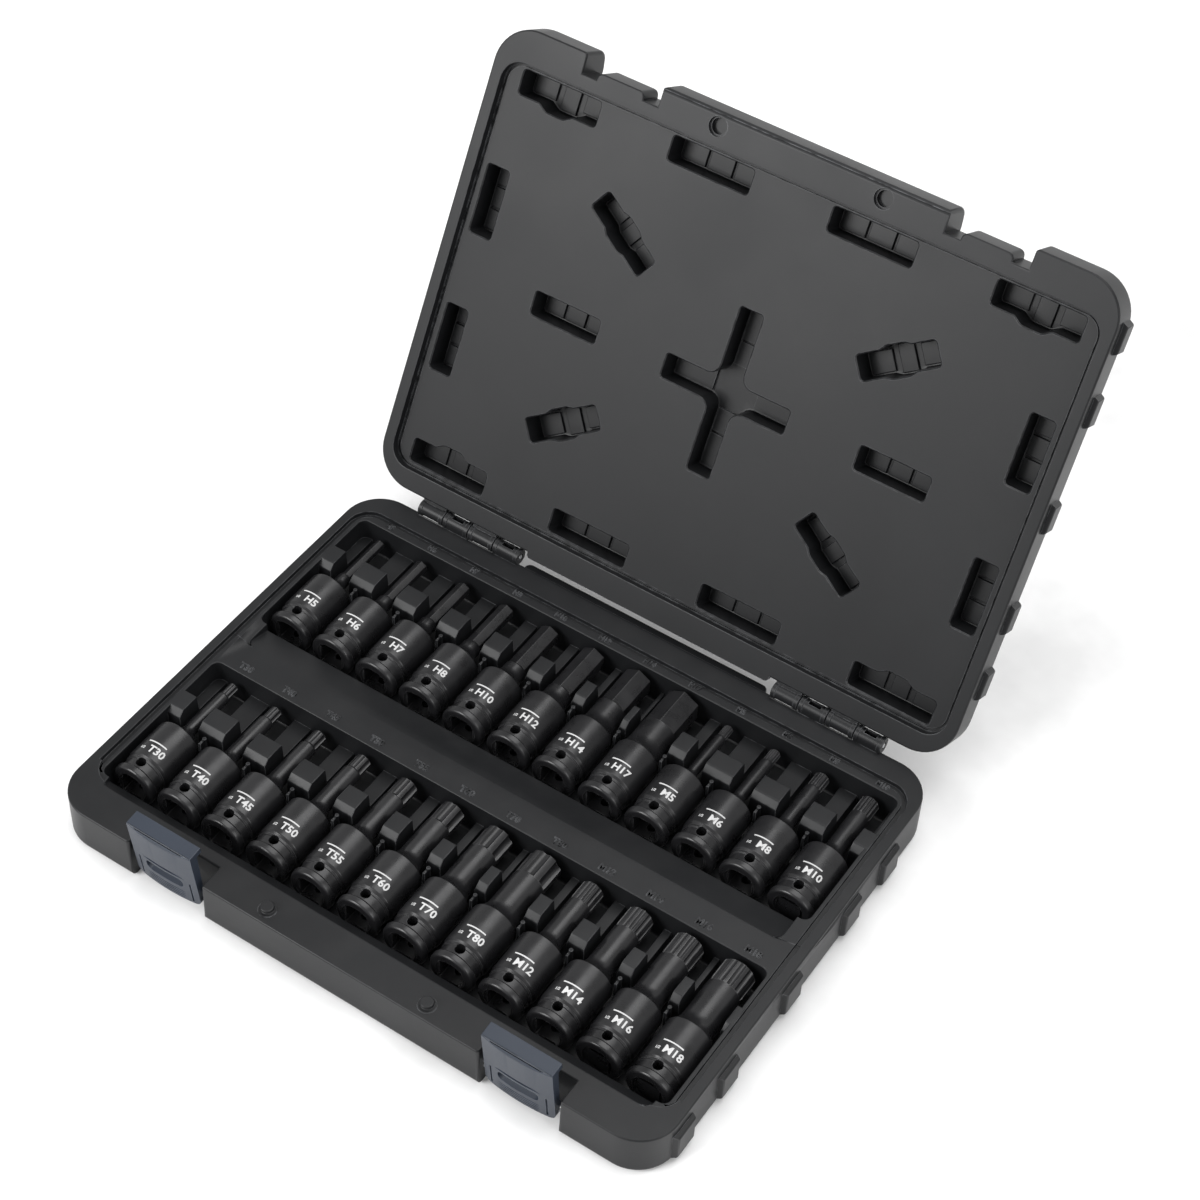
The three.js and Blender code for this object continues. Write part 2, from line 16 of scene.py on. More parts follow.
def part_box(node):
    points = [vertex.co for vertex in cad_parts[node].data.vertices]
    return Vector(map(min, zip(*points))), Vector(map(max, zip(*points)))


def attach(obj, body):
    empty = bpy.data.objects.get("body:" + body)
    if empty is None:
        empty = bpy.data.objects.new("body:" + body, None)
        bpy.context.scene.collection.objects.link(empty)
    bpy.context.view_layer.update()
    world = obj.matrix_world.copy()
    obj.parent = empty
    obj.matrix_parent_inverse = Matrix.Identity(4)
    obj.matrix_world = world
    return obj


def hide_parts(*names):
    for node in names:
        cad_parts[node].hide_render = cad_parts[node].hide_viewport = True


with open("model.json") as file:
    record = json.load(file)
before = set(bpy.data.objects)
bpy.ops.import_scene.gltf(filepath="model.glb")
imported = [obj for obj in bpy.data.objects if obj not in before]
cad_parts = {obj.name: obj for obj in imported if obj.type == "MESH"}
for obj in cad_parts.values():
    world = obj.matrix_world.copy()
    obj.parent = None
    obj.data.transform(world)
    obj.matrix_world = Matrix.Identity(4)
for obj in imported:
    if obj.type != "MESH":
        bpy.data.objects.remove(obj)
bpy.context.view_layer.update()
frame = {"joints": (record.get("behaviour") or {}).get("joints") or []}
joints = {joint["name"]: joint for joint in frame["joints"]}

# %% [markdown]
# ## Places that everything shares
# The hinge line is the best starting point, because both halves of the case turn about it.
# The rim, where the halves meet, and the outer walls follow from it by the moulding's own sizes.

# %% Work out the case's main places
mm = 0.001
hinge = Vector(joints["lid_hinge"]["pos_m"])
lid_open_angle = math.radians(118)
rim = hinge.z - 2.8 * mm
case_back = hinge.y - 1.9 * mm
case_front = -case_back
rib_proud = 2.5 * mm
case_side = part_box("base_shell")[1].x - rib_proud
case_corner = 21 * mm
lid_under = rim + 0.3 * mm
lid_top = rim + 22 * mm
lid_back = case_back - 3.5 * mm
print("rim at", round(rim / mm, 2), "mm, case from", round(case_front / mm, 2), "to", round(case_back / mm, 2))

# %% The bits: kind of tip, tip size, shank diameter and tip length in millimetres
bits = {
    "t30": ("star", 5.5, 7, 8), "t40": ("star", 6.7, 8, 8), "t45": ("star", 7.8, 9, 9),
    "t50": ("star", 8.8, 10, 9), "t55": ("star", 11.2, 11.5, 11), "t60": ("star", 13.2, 13.5, 12),
    "t70": ("star", 15.5, 15.5, 13), "t80": ("star", 17.5, 17.5, 14), "m12": ("spline", 12, 12, 11),
    "m14": ("spline", 14, 14, 12), "m16": ("spline", 16, 16, 13), "m18": ("spline", 18, 18, 13),
    "h5": ("hex", 5, 7.5, 30), "h6": ("hex", 6, 8.5, 30), "h7": ("hex", 7, 9.5, 30),
    "h8": ("hex", 8, 10.5, 30), "h10": ("hex", 10, 12.5, 30), "h12": ("hex", 12, 14.5, 30),
    "h14": ("hex", 14, 17, 24), "h17": ("hex", 17, 20, 22), "m5": ("spline", 5, 6, 8),
    "m6": ("spline", 6, 7, 8), "m8": ("spline", 8, 8.5, 9), "m10": ("spline", 10, 10, 10),
}
row_length = 12
names = list(bits)
rows = [names[:row_length], names[row_length:]]


def drive_end(name):
    """The middle of a socket's drive end, and the drive's radius."""
    low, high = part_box("socket_" + name)
    return Vector(((low.x + high.x) / 2, low.y, (low.z + high.z) / 2)), (high.x - low.x) / 2


socket_length = 78 * mm
pitch = drive_end(rows[0][1])[0].x - drive_end(rows[0][0])[0].x
drive_radius = drive_end("t30")[1]
room_at_drive = 5.9 * mm
room_at_tip = 3.3 * mm
well_side = row_length * pitch / 2
floor_top = 4.8 * mm
tray_top = rim - 1.2 * mm
well_fronts = [drive_end(row[0])[0].y - room_at_drive for row in rows]
well_depth = room_at_drive + socket_length + room_at_tip
print("pitch", round(pitch / mm, 2), "mm, wells from", [round(y / mm, 2) for y in well_fronts])

# %% [markdown]
# ## Camera, light and floor
# A small product is lit with big soft sources, because a dark satin plastic only shows its shape
# by what it mirrors. One broad light stands in front on the left and a second hangs overhead.
# A long lens from far away keeps the case's edges nearly parallel.

# %% Camera
view_azimuth = math.radians(31.62)
view_elevation = math.radians(47.68)
view_roll = math.radians(2.97)
view_distance = 1403.4 * mm
view_target = Vector((-28.2, 130.3, 26.8)) * mm
backwards = Vector((
    math.sin(view_azimuth) * math.cos(view_elevation),
    -math.cos(view_azimuth) * math.cos(view_elevation),
    math.sin(view_elevation),
))
level_right = Vector((math.cos(view_azimuth), math.sin(view_azimuth), 0))
level_up = backwards.cross(level_right)
camera_right = level_right * math.cos(view_roll) + level_up * math.sin(view_roll)
camera_up = backwards.cross(camera_right)
bpy.ops.object.camera_add()
camera = bpy.context.object
camera.data.lens = 82.28
camera.data.sensor_width = 36
camera.data.clip_end = 20
camera.matrix_world = Matrix((
    (camera_right.x, camera_up.x, backwards.x, 0),
    (camera_right.y, camera_up.y, backwards.y, 0),
    (camera_right.z, camera_up.z, backwards.z, 0),
    (0, 0, 0, 1),
))
camera.location = view_target + backwards * view_distance
bpy.context.scene.camera = camera
print("camera at", [round(v, 3) for v in camera.location])


# %% Soft lights
def softbox(name, place, target, size, power):
    """A square area light at a place, aimed at a point."""
    bpy.ops.object.light_add(type="AREA", location=place)
    light = bpy.context.object
    light.name = name
    light.data.size = size
    light.data.energy = power
    light.rotation_euler = (Vector(target) - Vector(place)).to_track_quat("-Z", "Y").to_euler()
    return light


case_middle = (0, 0.08, 0.08)
softbox("front_left_softbox", (-0.9, -1.5, 1.1), case_middle, 1.1, 38)
softbox("overhead_softbox", (0.2, 0.5, 1.9), case_middle, 1.5, 24)
softbox("right_softbox", (1.7, -0.2, 0.9), case_middle, 0.9, 9)
world = bpy.data.worlds.new("studio")
world.use_nodes = True
world.node_tree.nodes["Background"].inputs["Color"].default_value = (1, 1, 1, 1)
world.node_tree.nodes["Background"].inputs["Strength"].default_value = 0.7
bpy.context.scene.world = world
bpy.context.scene.view_settings.view_transform = "Standard"

# %% [markdown]
# ## Modelling helpers
# Blender's operators act on whatever is selected, so each helper first clears the selection.
# Edges and faces are then picked in code, by where they are, as a hand would pick them in the viewport.

# %% Selecting
tiny = 0.01 * mm


def only(piece):
    """Leaves edit mode and makes one object the selected and active one."""
    if bpy.context.object and bpy.context.object.mode != "OBJECT":
        bpy.ops.object.mode_set(mode="OBJECT")
    bpy.ops.object.select_all(action="DESELECT")
    piece.select_set(True)
    bpy.context.view_layer.objects.active = piece


def pick(piece, test, kind="EDGE"):
    """Selects the edges or faces whose corner points pass the test, and stays in edit mode."""
    only(piece)
    bpy.ops.object.mode_set(mode="EDIT")
    bpy.ops.mesh.select_mode(type=kind)
    bpy.ops.mesh.select_all(action="DESELECT")
    bpy.ops.object.mode_set(mode="OBJECT")
    mesh = piece.data
    for part in mesh.polygons if kind == "FACE" else mesh.edges:
        part.select = bool(test([mesh.vertices[i].co for i in part.vertices]))
    bpy.ops.object.mode_set(mode="EDIT")


def same(values):
    return max(values) - min(values) < tiny


def upright(points):
    """An edge that runs along Z."""
    return same([p.x for p in points]) and same([p.y for p in points])


def at(axis, value):
    """A test for parts that lie in the plane where one axis has this value."""
    number = "xyz".index(axis)
    return lambda points: all(abs(p[number] - value) < tiny for p in points)


# %% Primitives at their size and place
def block(name, low, high):
    """A box from its lowest to its highest corner."""
    low, high = Vector(low), Vector(high)
    bpy.ops.object.select_all(action="DESELECT")
    bpy.ops.mesh.primitive_cube_add(size=1, location=(low + high) / 2, scale=high - low)
    bpy.ops.object.transform_apply(location=True, rotation=True, scale=True)
    bpy.context.object.name = name
    return bpy.context.object


def bar(name, start, end, radius, sides=32, turn=0):
    """A cylinder from one point to another, turned about its own axis."""
    start, end = Vector(start), Vector(end)
    along = (end - start).to_track_quat("Z", "X").to_matrix()
    spin = Matrix.Rotation(turn, 3, "Z")
    bpy.ops.object.select_all(action="DESELECT")
    bpy.ops.mesh.primitive_cylinder_add(
        vertices=sides, radius=radius, depth=(end - start).length,
        location=(start + end) / 2, rotation=(along @ spin).to_euler(),
    )
    bpy.ops.object.transform_apply(location=True, rotation=True, scale=True)
    bpy.context.object.name = name
    return bpy.context.object


def round_edges(piece, width, steps, test):
    """Bevels the edges that pass the test."""
    pick(piece, test)
    bpy.ops.mesh.bevel(offset=width, segments=steps, affect="EDGES", clamp_overlap=False)
    bpy.ops.object.mode_set(mode="OBJECT")


def rounded_slab(name, low, high, corner, steps=8):
    """A box with its four upright edges rounded."""
    slab = block(name, low, high)
    round_edges(slab, corner, steps, upright)
    return slab


# %% Joining and cutting
def merged(pieces):
    """Several objects as one mesh object."""
    only(pieces[0])
    for piece in pieces:
        piece.select_set(True)
    if len(pieces) > 1:
        bpy.ops.object.join()
    return bpy.context.object


def combine(piece, others, operation):
    """Cuts the others out of a piece, joins them to it or keeps what they share, and removes them."""
    tool = merged(others)
    only(piece)
    change = piece.modifiers.new("combine", "BOOLEAN")
    change.operation = operation
    change.solver = "EXACT"
    change.use_self = len(others) > 1
    change.object = tool
    bpy.ops.object.modifier_apply(modifier=change.name)
    bpy.data.objects.remove(tool)
    return piece


def cut(piece, *others):
    return combine(piece, others, "DIFFERENCE")


def join(piece, *others):
    return combine(piece, others, "UNION")


# %% Rounding what booleans leave sharp
def soften(piece, width, steps, where=None, angle=32):
    """Bevels every sharp edge whose points all lie where the test says."""
    only(piece)
    bpy.ops.object.mode_set(mode="EDIT")
    bpy.ops.mesh.select_mode(type="VERT")
    bpy.ops.mesh.select_all(action="SELECT")
    bpy.ops.mesh.remove_doubles(threshold=tiny)
    bpy.ops.mesh.select_mode(type="EDGE")
    bpy.ops.mesh.select_all(action="DESELECT")
    bpy.ops.mesh.edges_select_sharp(sharpness=math.radians(angle))
    bpy.ops.object.mode_set(mode="OBJECT")
    mesh = piece.data
    sharp = {edge.index for edge in mesh.edges if edge.select}
    chosen = {
        i for i in sharp
        if where is None or all(where(mesh.vertices[v].co) for v in mesh.edges[i].vertices)
    }
    pick(piece, lambda points: False)
    bpy.ops.object.mode_set(mode="OBJECT")
    for i in chosen:
        mesh.edges[i].select = True
    bpy.ops.object.mode_set(mode="EDIT")
    bpy.ops.mesh.bevel(offset=width, segments=steps, affect="EDGES", clamp_overlap=False)
    bpy.ops.object.mode_set(mode="OBJECT")
    print(piece.name, "has", len(chosen), "edges rounded by", round(width / mm, 2), "mm")


def finish_surface(piece, angle=35):
    """Shades the rounded edges smoothly and keeps the broad faces flat."""
    only(piece)
    bpy.ops.object.shade_smooth_by_angle(angle=math.radians(angle))
    weights = piece.modifiers.new("flat_faces", "WEIGHTED_NORMAL")
    weights.keep_sharp = True
    bpy.ops.object.modifier_apply(modifier=weights.name)
    print(piece.name, "has", len(piece.data.polygons), "faces")

# %% [markdown]
# ## Effects that several finishes share
# Real plastic and steel are never one flat colour. Three small effects do most of the work:
# a fine grain left by the mould, edges painted paler than the faces, and dust in quiet places.
# The pale edges are rubbing wear; on the case plastic they are also a painted highlight along the rounded edges.
# Each is a node group that puts out a mask or a height, so every material can give it its own strength.


# %% Node group helper
def effect(name, inputs, outputs):
    """A new shader node group with float inputs and outputs, and its input and output nodes."""
    group = bpy.data.node_groups.new(name, "ShaderNodeTree")
    for label, value in inputs.items():
        group.interface.new_socket(label, in_out="INPUT", socket_type="NodeSocketFloat").default_value = value
    for label in outputs:
        group.interface.new_socket(label, in_out="OUTPUT", socket_type="NodeSocketFloat")
    return group, group.nodes.new("NodeGroupInput"), group.nodes.new("NodeGroupOutput")


def wire(tree, start, start_socket, end, end_socket):
    tree.links.new(start.outputs[start_socket], end.inputs[end_socket])


def remap(tree, low, high, to_low=0, to_high=1):
    """A Map Range node with these limits."""
    node = tree.nodes.new("ShaderNodeMapRange")
    for label, value in {"From Min": low, "From Max": high, "To Min": to_low, "To Max": to_high}.items():
        node.inputs[label].default_value = value
    return node


# %% Moulded grain: fine pits and slow patches of gloss
def make_moulded_grain():
    group, given, result = effect("moulded_grain", {"Grain Scale": 1400, "Patch Scale": 14}, ["Height", "Patches"])
    place = group.nodes.new("ShaderNodeTexCoord")
    grain = group.nodes.new("ShaderNodeTexNoise")
    grain.inputs["Detail"].default_value = 3
    patches = group.nodes.new("ShaderNodeTexNoise")
    patches.inputs["Detail"].default_value = 4
    wire(group, place, "Object", grain, "Vector")
    wire(group, place, "Object", patches, "Vector")
    wire(group, given, "Grain Scale", grain, "Scale")
    wire(group, given, "Patch Scale", patches, "Scale")
    wire(group, grain, "Fac", result, "Height")
    spread = remap(group, 0.3, 0.7)
    wire(group, patches, "Fac", spread, "Value")
    wire(group, spread, "Result", result, "Patches")
    return group


# %% Edge wear and painted edge highlight: where the rounded normal leaves the true one
def make_edge_wear_and_highlight():
    group, given, result = effect("edge_wear_and_highlight", {"Width": 0.0006, "Breakup Scale": 220}, ["Mask"])
    rounded = group.nodes.new("ShaderNodeBevel")
    rounded.samples = 6
    true_normal = group.nodes.new("ShaderNodeNewGeometry")
    agree = group.nodes.new("ShaderNodeVectorMath")
    agree.operation = "DOT_PRODUCT"
    wire(group, given, "Width", rounded, "Radius")
    wire(group, rounded, "Normal", agree, 0)
    wire(group, true_normal, "Normal", agree, 1)
    edge = remap(group, 0.995, 0.86)
    wire(group, agree, "Value", edge, "Value")
    place = group.nodes.new("ShaderNodeTexCoord")
    breakup = group.nodes.new("ShaderNodeTexNoise")
    wire(group, place, "Object", breakup, "Vector")
    wire(group, given, "Breakup Scale", breakup, "Scale")
    uneven = remap(group, 0.35, 0.6)
    wire(group, breakup, "Fac", uneven, "Value")
    both = group.nodes.new("ShaderNodeMath")
    both.operation = "MULTIPLY"
    wire(group, edge, "Result", both, 0)
    wire(group, uneven, "Result", both, 1)
    wire(group, both, "Value", result, "Mask")
    return group


# %% Dust: on faces that look up, in soft patches
def make_dust():
    group, given, result = effect("dust", {"Amount": 0.3, "Speck Scale": 60}, ["Mask"])
    place = group.nodes.new("ShaderNodeTexCoord")
    split = group.nodes.new("ShaderNodeSeparateXYZ")
    wire(group, place, "Normal", split, "Vector")
    upwards = remap(group, 0.3, 1)
    wire(group, split, "Z", upwards, "Value")
    specks = group.nodes.new("ShaderNodeTexNoise")
    specks.inputs["Detail"].default_value = 8
    wire(group, place, "Object", specks, "Vector")
    wire(group, given, "Speck Scale", specks, "Scale")
    patches = remap(group, 0.42, 0.75)
    wire(group, specks, "Fac", patches, "Value")
    both = group.nodes.new("ShaderNodeMath")
    both.operation = "MULTIPLY"
    wire(group, upwards, "Result", both, 0)
    wire(group, patches, "Result", both, 1)
    scaled = group.nodes.new("ShaderNodeMath")
    scaled.operation = "MULTIPLY"
    wire(group, both, "Value", scaled, 0)
    wire(group, given, "Amount", scaled, 1)
    wire(group, scaled, "Value", result, "Mask")
    return group


# %% Turned lines: the fine rings a lathe leaves round a socket
def make_turned_lines():
    group, given, result = effect("turned_lines", {"Ring Scale": 2600, "Blotch Scale": 120}, ["Height", "Blotches"])
    place = group.nodes.new("ShaderNodeTexCoord")
    stretch = group.nodes.new("ShaderNodeMapping")
    stretch.inputs["Scale"].default_value = (0.02, 1, 0.02)
    rings = group.nodes.new("ShaderNodeTexNoise")
    blotches = group.nodes.new("ShaderNodeTexNoise")
    blotches.inputs["Detail"].default_value = 6
    wire(group, place, "Object", stretch, "Vector")
    wire(group, stretch, "Vector", rings, "Vector")
    wire(group, given, "Ring Scale", rings, "Scale")
    wire(group, place, "Object", blotches, "Vector")
    wire(group, given, "Blotch Scale", blotches, "Scale")
    spread = remap(group, 0.35, 0.65)
    wire(group, blotches, "Fac", spread, "Value")
    wire(group, rings, "Fac", result, "Height")
    wire(group, spread, "Result", result, "Blotches")
    return group


effects = {
    "grain": make_moulded_grain(),
    "wear_and_highlight": make_edge_wear_and_highlight(),
    "dust": make_dust(),
    "turned": make_turned_lines(),
}
print("effects:", ", ".join(group.name for group in effects.values()))

# %% [markdown]
# ## Finishes
# The Principled shader stays in each material and takes the effects' masks.
# A base colour is mixed towards a paler one at worn edges and under dust,
# and the roughness follows the slow patches, so that highlights are never perfectly even.
# On the case plastic the paler edges are strong enough to be a painted highlight as well as wear.


# %% A finish built from the effects
def finish(name, colour, wear_and_highlight_colour, roughness, wear_and_highlight=0.5, dust=0.0, bump=0.02, turned=False, metal=0.0, grain=1400,
           sheen=0.5):
    """A material whose colour, roughness and relief all vary over the surface."""
    material = bpy.data.materials.new(name)
    material.use_nodes = True
    tree = material.node_tree
    shader = tree.nodes["Principled BSDF"]
    shader.inputs["Metallic"].default_value = metal
    shader.inputs["Specular IOR Level"].default_value = sheen
    surface = tree.nodes.new("ShaderNodeGroup")
    surface.node_tree = effects["turned" if turned else "grain"]
    if not turned:
        surface.inputs["Grain Scale"].default_value = grain
    slow = "Blotches" if turned else "Patches"
    edges = tree.nodes.new("ShaderNodeGroup")
    edges.node_tree = effects["wear_and_highlight"]
    powder = tree.nodes.new("ShaderNodeGroup")
    powder.node_tree = effects["dust"]
    powder.inputs["Amount"].default_value = dust
    tone = remap(tree, 0, 1, 0.88, 1.12)
    wire(tree, surface, slow, tone, "Value")
    varied = tree.nodes.new("ShaderNodeVectorMath")
    varied.operation = "SCALE"
    varied.inputs[0].default_value = colour
    wire(tree, tone, "Result", varied, "Scale")
    # Paler edges: rubbing wear, and on the case plastic also a painted highlight along its rounded edges.
    worn_and_highlit_edges = tree.nodes.new("ShaderNodeMix")
    worn_and_highlit_edges.data_type = "RGBA"
    strength = remap(tree, 0, 1, 0, wear_and_highlight)
    wire(tree, edges, "Mask", strength, "Value")
    wire(tree, strength, "Result", worn_and_highlit_edges, "Factor")
    tree.links.new(varied.outputs["Vector"], worn_and_highlit_edges.inputs[6])
    worn_and_highlit_edges.inputs[7].default_value = (*wear_and_highlight_colour, 1)
    dusty = tree.nodes.new("ShaderNodeMix")
    dusty.data_type = "RGBA"
    wire(tree, powder, "Mask", dusty, "Factor")
    tree.links.new(worn_and_highlit_edges.outputs[2], dusty.inputs[6])
    dusty.inputs[7].default_value = (0.16, 0.155, 0.15, 1)
    tree.links.new(dusty.outputs[2], shader.inputs["Base Color"])
    gloss = remap(tree, 0, 1, roughness - 0.05, roughness + 0.05)
    wire(tree, surface, slow, gloss, "Value")
    wire(tree, gloss, "Result", shader, "Roughness")
    relief = tree.nodes.new("ShaderNodeBump")
    relief.inputs["Strength"].default_value = bump
    relief.inputs["Distance"].default_value = 0.1 * mm
    wire(tree, surface, "Height", relief, "Height")
    wire(tree, relief, "Normal", shader, "Normal")
    return material


# The case's pale edge colour and strong edge mix are partly rubbing wear and partly a painted highlight on its rounded
# edges.
case_plastic = finish("case_plastic", (0.009, 0.0094, 0.0103), (0.12, 0.123, 0.13), 0.4,
                      wear_and_highlight=0.75, dust=0.02, bump=0.25, sheen=0.25)
latch_plastic = finish("latch_plastic", (0.021, 0.027, 0.039), (0.1, 0.115, 0.145), 0.4,
                       wear_and_highlight=0.5, dust=0.02, bump=0.2, sheen=0.32)
black_steel = finish("black_steel", (0.011, 0.011, 0.012), (0.15, 0.15, 0.155), 0.3,
                     wear_and_highlight=0.45, dust=0.01, bump=0.12, turned=True, metal=0.2)
pin_steel = finish("pin_steel", (0.55, 0.555, 0.57), (0.7, 0.7, 0.71), 0.3, wear_and_highlight=0.2, bump=0.05, metal=1.0)
etched_mark = finish("etched_mark", (0.5, 0.5, 0.5), (0.6, 0.6, 0.6), 0.6, wear_and_highlight=0.1, bump=0.3, grain=4000)
floor_paint = finish("floor_paint", (0.86, 0.86, 0.86), (0.86, 0.86, 0.86), 0.85, wear_and_highlight=0.0, bump=0.02)
print("finishes ready")


# %% Give a finished piece its finish, body and node
def place(piece, material, body, node, slot):
    """The piece takes its material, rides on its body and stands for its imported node."""
    if not piece.data.materials:
        piece.data.materials.append(material)
    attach(piece, body)
    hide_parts(node)


bpy.ops.object.select_all(action="DESELECT")
bpy.ops.mesh.primitive_plane_add(size=12, location=(0, 0, 0))
floor = bpy.context.object
floor.name = "studio_floor"
floor.data.materials.append(floor_paint)

# %% [markdown]
# ## Bit sockets
# A bit socket is turned from one bar. It could be a lathe profile spun round an axis.
# Here a disc is extruded along the axis, station by station, and resized at each one,
# which is easy to follow and keeps every ring exactly where the drawing says.
# The square drive, the cross hole and the flutes of the tip are then cut, as a mill would cut them.


# %% Turned body from stations
def turned(name, start, stations, axis="Y", sides=40):
    """A solid of revolution: stations are pairs of distance along the axis and radius."""
    turn = {"Y": (math.pi / 2, 0, 0), "X": (0, math.pi / 2, 0), "Z": (0, 0, 0)}[axis]
    along = {"Y": Vector((0, 1, 0)), "X": Vector((1, 0, 0)), "Z": Vector((0, 0, 1))}[axis]
    (first, radius), *rest = stations
    here = Vector(start) + along * first
    bpy.ops.object.select_all(action="DESELECT")
    bpy.ops.mesh.primitive_circle_add(vertices=sides, radius=radius, fill_type="NGON", location=here, rotation=turn)
    bpy.ops.object.transform_apply(location=True, rotation=True, scale=True)
    piece = bpy.context.object
    piece.name = name
    bpy.ops.object.mode_set(mode="EDIT")
    bpy.ops.mesh.select_all(action="SELECT")
    for distance, next_radius in rest:
        step = along * (distance - first)
        bpy.ops.mesh.extrude_region_move(TRANSFORM_OT_translate={"value": step})
        here = here + step
        share = next_radius / radius
        scale = [1 if along[i] else share for i in range(3)]
        bpy.ops.transform.resize(value=scale, center_override=here)
        first, radius = distance, next_radius
    bpy.ops.mesh.select_all(action="SELECT")
    bpy.ops.mesh.normals_make_consistent(inside=False)
    bpy.ops.object.mode_set(mode="OBJECT")
    return piece


# %% Sizes of the drive
collar_end = 4.2 * mm
neck_end = 10.6 * mm
neck_depth = 1.2 * mm
body_start = 12.2 * mm
shoulder_start = 35.4 * mm
shoulder_end = 43.5 * mm
square_across = 12.9 * mm
square_depth = 16 * mm
cross_hole_from_end = 8 * mm
cross_hole_radius = 2.5 * mm
edge_round = 0.5 * mm


def drive_stations(radius, shank, shank_end):
    """The drive's collar, neck and body, the curved shoulder and the plain shank."""
    neck = radius - neck_depth
    stations = [
        (0, radius - 1.5 * mm),
        (0.5 * mm, radius - 0.6 * mm),
        (1.3 * mm, radius - 0.1 * mm),
        (collar_end - 0.7 * mm, radius),
        (collar_end, radius - 0.5 * mm),
        (collar_end + 0.5 * mm, neck),
        (neck_end - 1.7 * mm, neck),
        (neck_end - 1.3 * mm, neck + 0.55 * mm),
        (neck_end - 0.3 * mm, neck + 0.55 * mm),
        (neck_end, neck + 0.2 * mm),
        (body_start - 0.5 * mm, radius - 0.35 * mm),
        (body_start, radius),
        (shoulder_start - 0.6 * mm, radius),
        (shoulder_start, radius - 0.35 * mm),
    ]
    steps = 7
    drop = radius - 0.35 * mm - shank
    for i in range(1, steps + 1):
        share = i / steps
        along = shoulder_start + share * (shoulder_end - shoulder_start)
        stations.append((along, shank + drop * (1 - share) ** 2.4))
    stations.append((shank_end, shank))
    return stations


# %% Tips: hexagon, six-lobed star and twelve-pointed spline
def hex_tip(start, bit_size, shank_end, length):
    """A hexagonal rod with a flat on top, chamfered at its end, that grows out of the shank."""
    reach = bit_size / 2 / math.cos(math.pi / 6)
    root = shank_end - 2 * mm
    low = Vector(start) + Vector((0, root, 0))
    high = Vector(start) + Vector((0, length, 0))
    rod = bar("rod", low, high, reach, 6, math.pi / 6)
    round_edges(rod, 0.35 * mm, 2, lambda p: not same([q.y for q in p]))
    tip = [Vector(start).y + length - 0.01 * mm]
    round_edges(rod, 0.5 * mm, 2, lambda p: all(q.y > tip[0] for q in p))
    return rod


def fluted_tip(start, bit_size, shank, shank_end, length, flutes, flute_radius):
    """A round head with lengthwise flutes. They run out towards the shank."""
    radius = bit_size / 2
    neck = shank_end - 1.5 * mm
    head = turned("head", start, [
        (neck - 3 * mm, min(shank, radius) * 0.9),
        (neck, min(shank, radius) * 0.96),
        (neck + 2 * mm, radius),
        (length - 0.8 * mm, radius),
        (length, radius - 0.8 * mm),
    ], sides=48)
    cutters = []
    for i in range(flutes):
        angle = (i + 0.5) * 2 * math.pi / flutes
        out = radius + flute_radius * 0.42
        middle = Vector(start) + Vector((math.cos(angle) * out, 0, math.sin(angle) * out))
        low = middle + Vector((0, neck + 0.6 * mm, 0))
        high = middle + Vector((0, length + 1 * mm, 0))
        cutters.append(bar("flute", low, high, flute_radius, 12))
    return cut(head, *cutters)


# %% Etched marks: a thin skin of letters laid on the round body
mark_bold = 5.9 * mm
mark_small = 2.2 * mm
mark_skin = 0.05 * mm


def lettering(text, size, middle, thickness, bold=0.0):
    """Flat letters with their reading direction along X, made into a mesh before they are placed."""
    bpy.ops.object.select_all(action="DESELECT")
    bpy.ops.object.text_add()
    letters = bpy.context.object
    letters.data.body = text
    letters.data.size = size
    letters.data.align_x = "CENTER"
    letters.data.align_y = "CENTER"
    letters.data.resolution_u = 2
    letters.data.offset = bold
    letters.data.extrude = thickness / 2
    bpy.ops.object.convert(target="MESH")
    letters = bpy.context.object
    letters.location = middle
    bpy.ops.object.transform_apply(location=True, rotation=True, scale=True)
    bpy.ops.object.mode_set(mode="EDIT")
    bpy.ops.mesh.select_all(action="SELECT")
    bpy.ops.mesh.remove_doubles(threshold=0.001 * mm)
    bpy.ops.object.mode_set(mode="OBJECT")
    return letters


def slice_across(piece, spacing):
    """Cuts a flat piece into narrow strips along X, so that it can follow a curve."""
    xs = [v.co.x for v in piece.data.vertices]
    only(piece)
    bpy.ops.object.mode_set(mode="EDIT")
    x = min(xs) + spacing
    while x < max(xs):
        bpy.ops.mesh.select_all(action="SELECT")
        bpy.ops.mesh.bisect(plane_co=(x, 0, 0), plane_no=(1, 0, 0))
        x += spacing
    bpy.ops.object.mode_set(mode="OBJECT")


def wrap_round(piece, centre, radius):
    """Bends a flat piece that lies at the top of a cylinder along Y down onto its surface."""
    for vertex in piece.data.vertices:
        angle = (vertex.co.x - centre.x) / radius
        height = vertex.co.z - centre.z
        vertex.co.x = centre.x + math.sin(angle) * height
        vertex.co.z = centre.z + math.cos(angle) * height


def etched_marks(start, radius, size_mark):
    """The size in bold, the drive's size beside it and a plain line above them."""
    top = radius + mark_skin / 2
    size = lettering(size_mark, mark_bold, Vector(start) + Vector((2.6 * mm, 16.4 * mm, top)), mark_skin * 2, 0.14 * mm)
    round_marks = [size]
    drive = lettering("1/2", mark_small, Vector(start) + Vector((-5.6 * mm, 16 * mm, top)), mark_skin * 2, 0.05 * mm)
    round_marks.append(drive)
    line_low = Vector(start) + Vector((-5.4 * mm, 20.6 * mm, top - mark_skin))
    line = block("line", line_low, line_low + Vector((10.8 * mm, 0.7 * mm, mark_skin * 2)))
    round_marks.append(line)
    marks = merged(round_marks)
    slice_across(marks, 0.8 * mm)
    wrap_round(marks, Vector(start), radius)
    marks.data.materials.clear()
    marks.data.materials.append(etched_mark)
    return marks


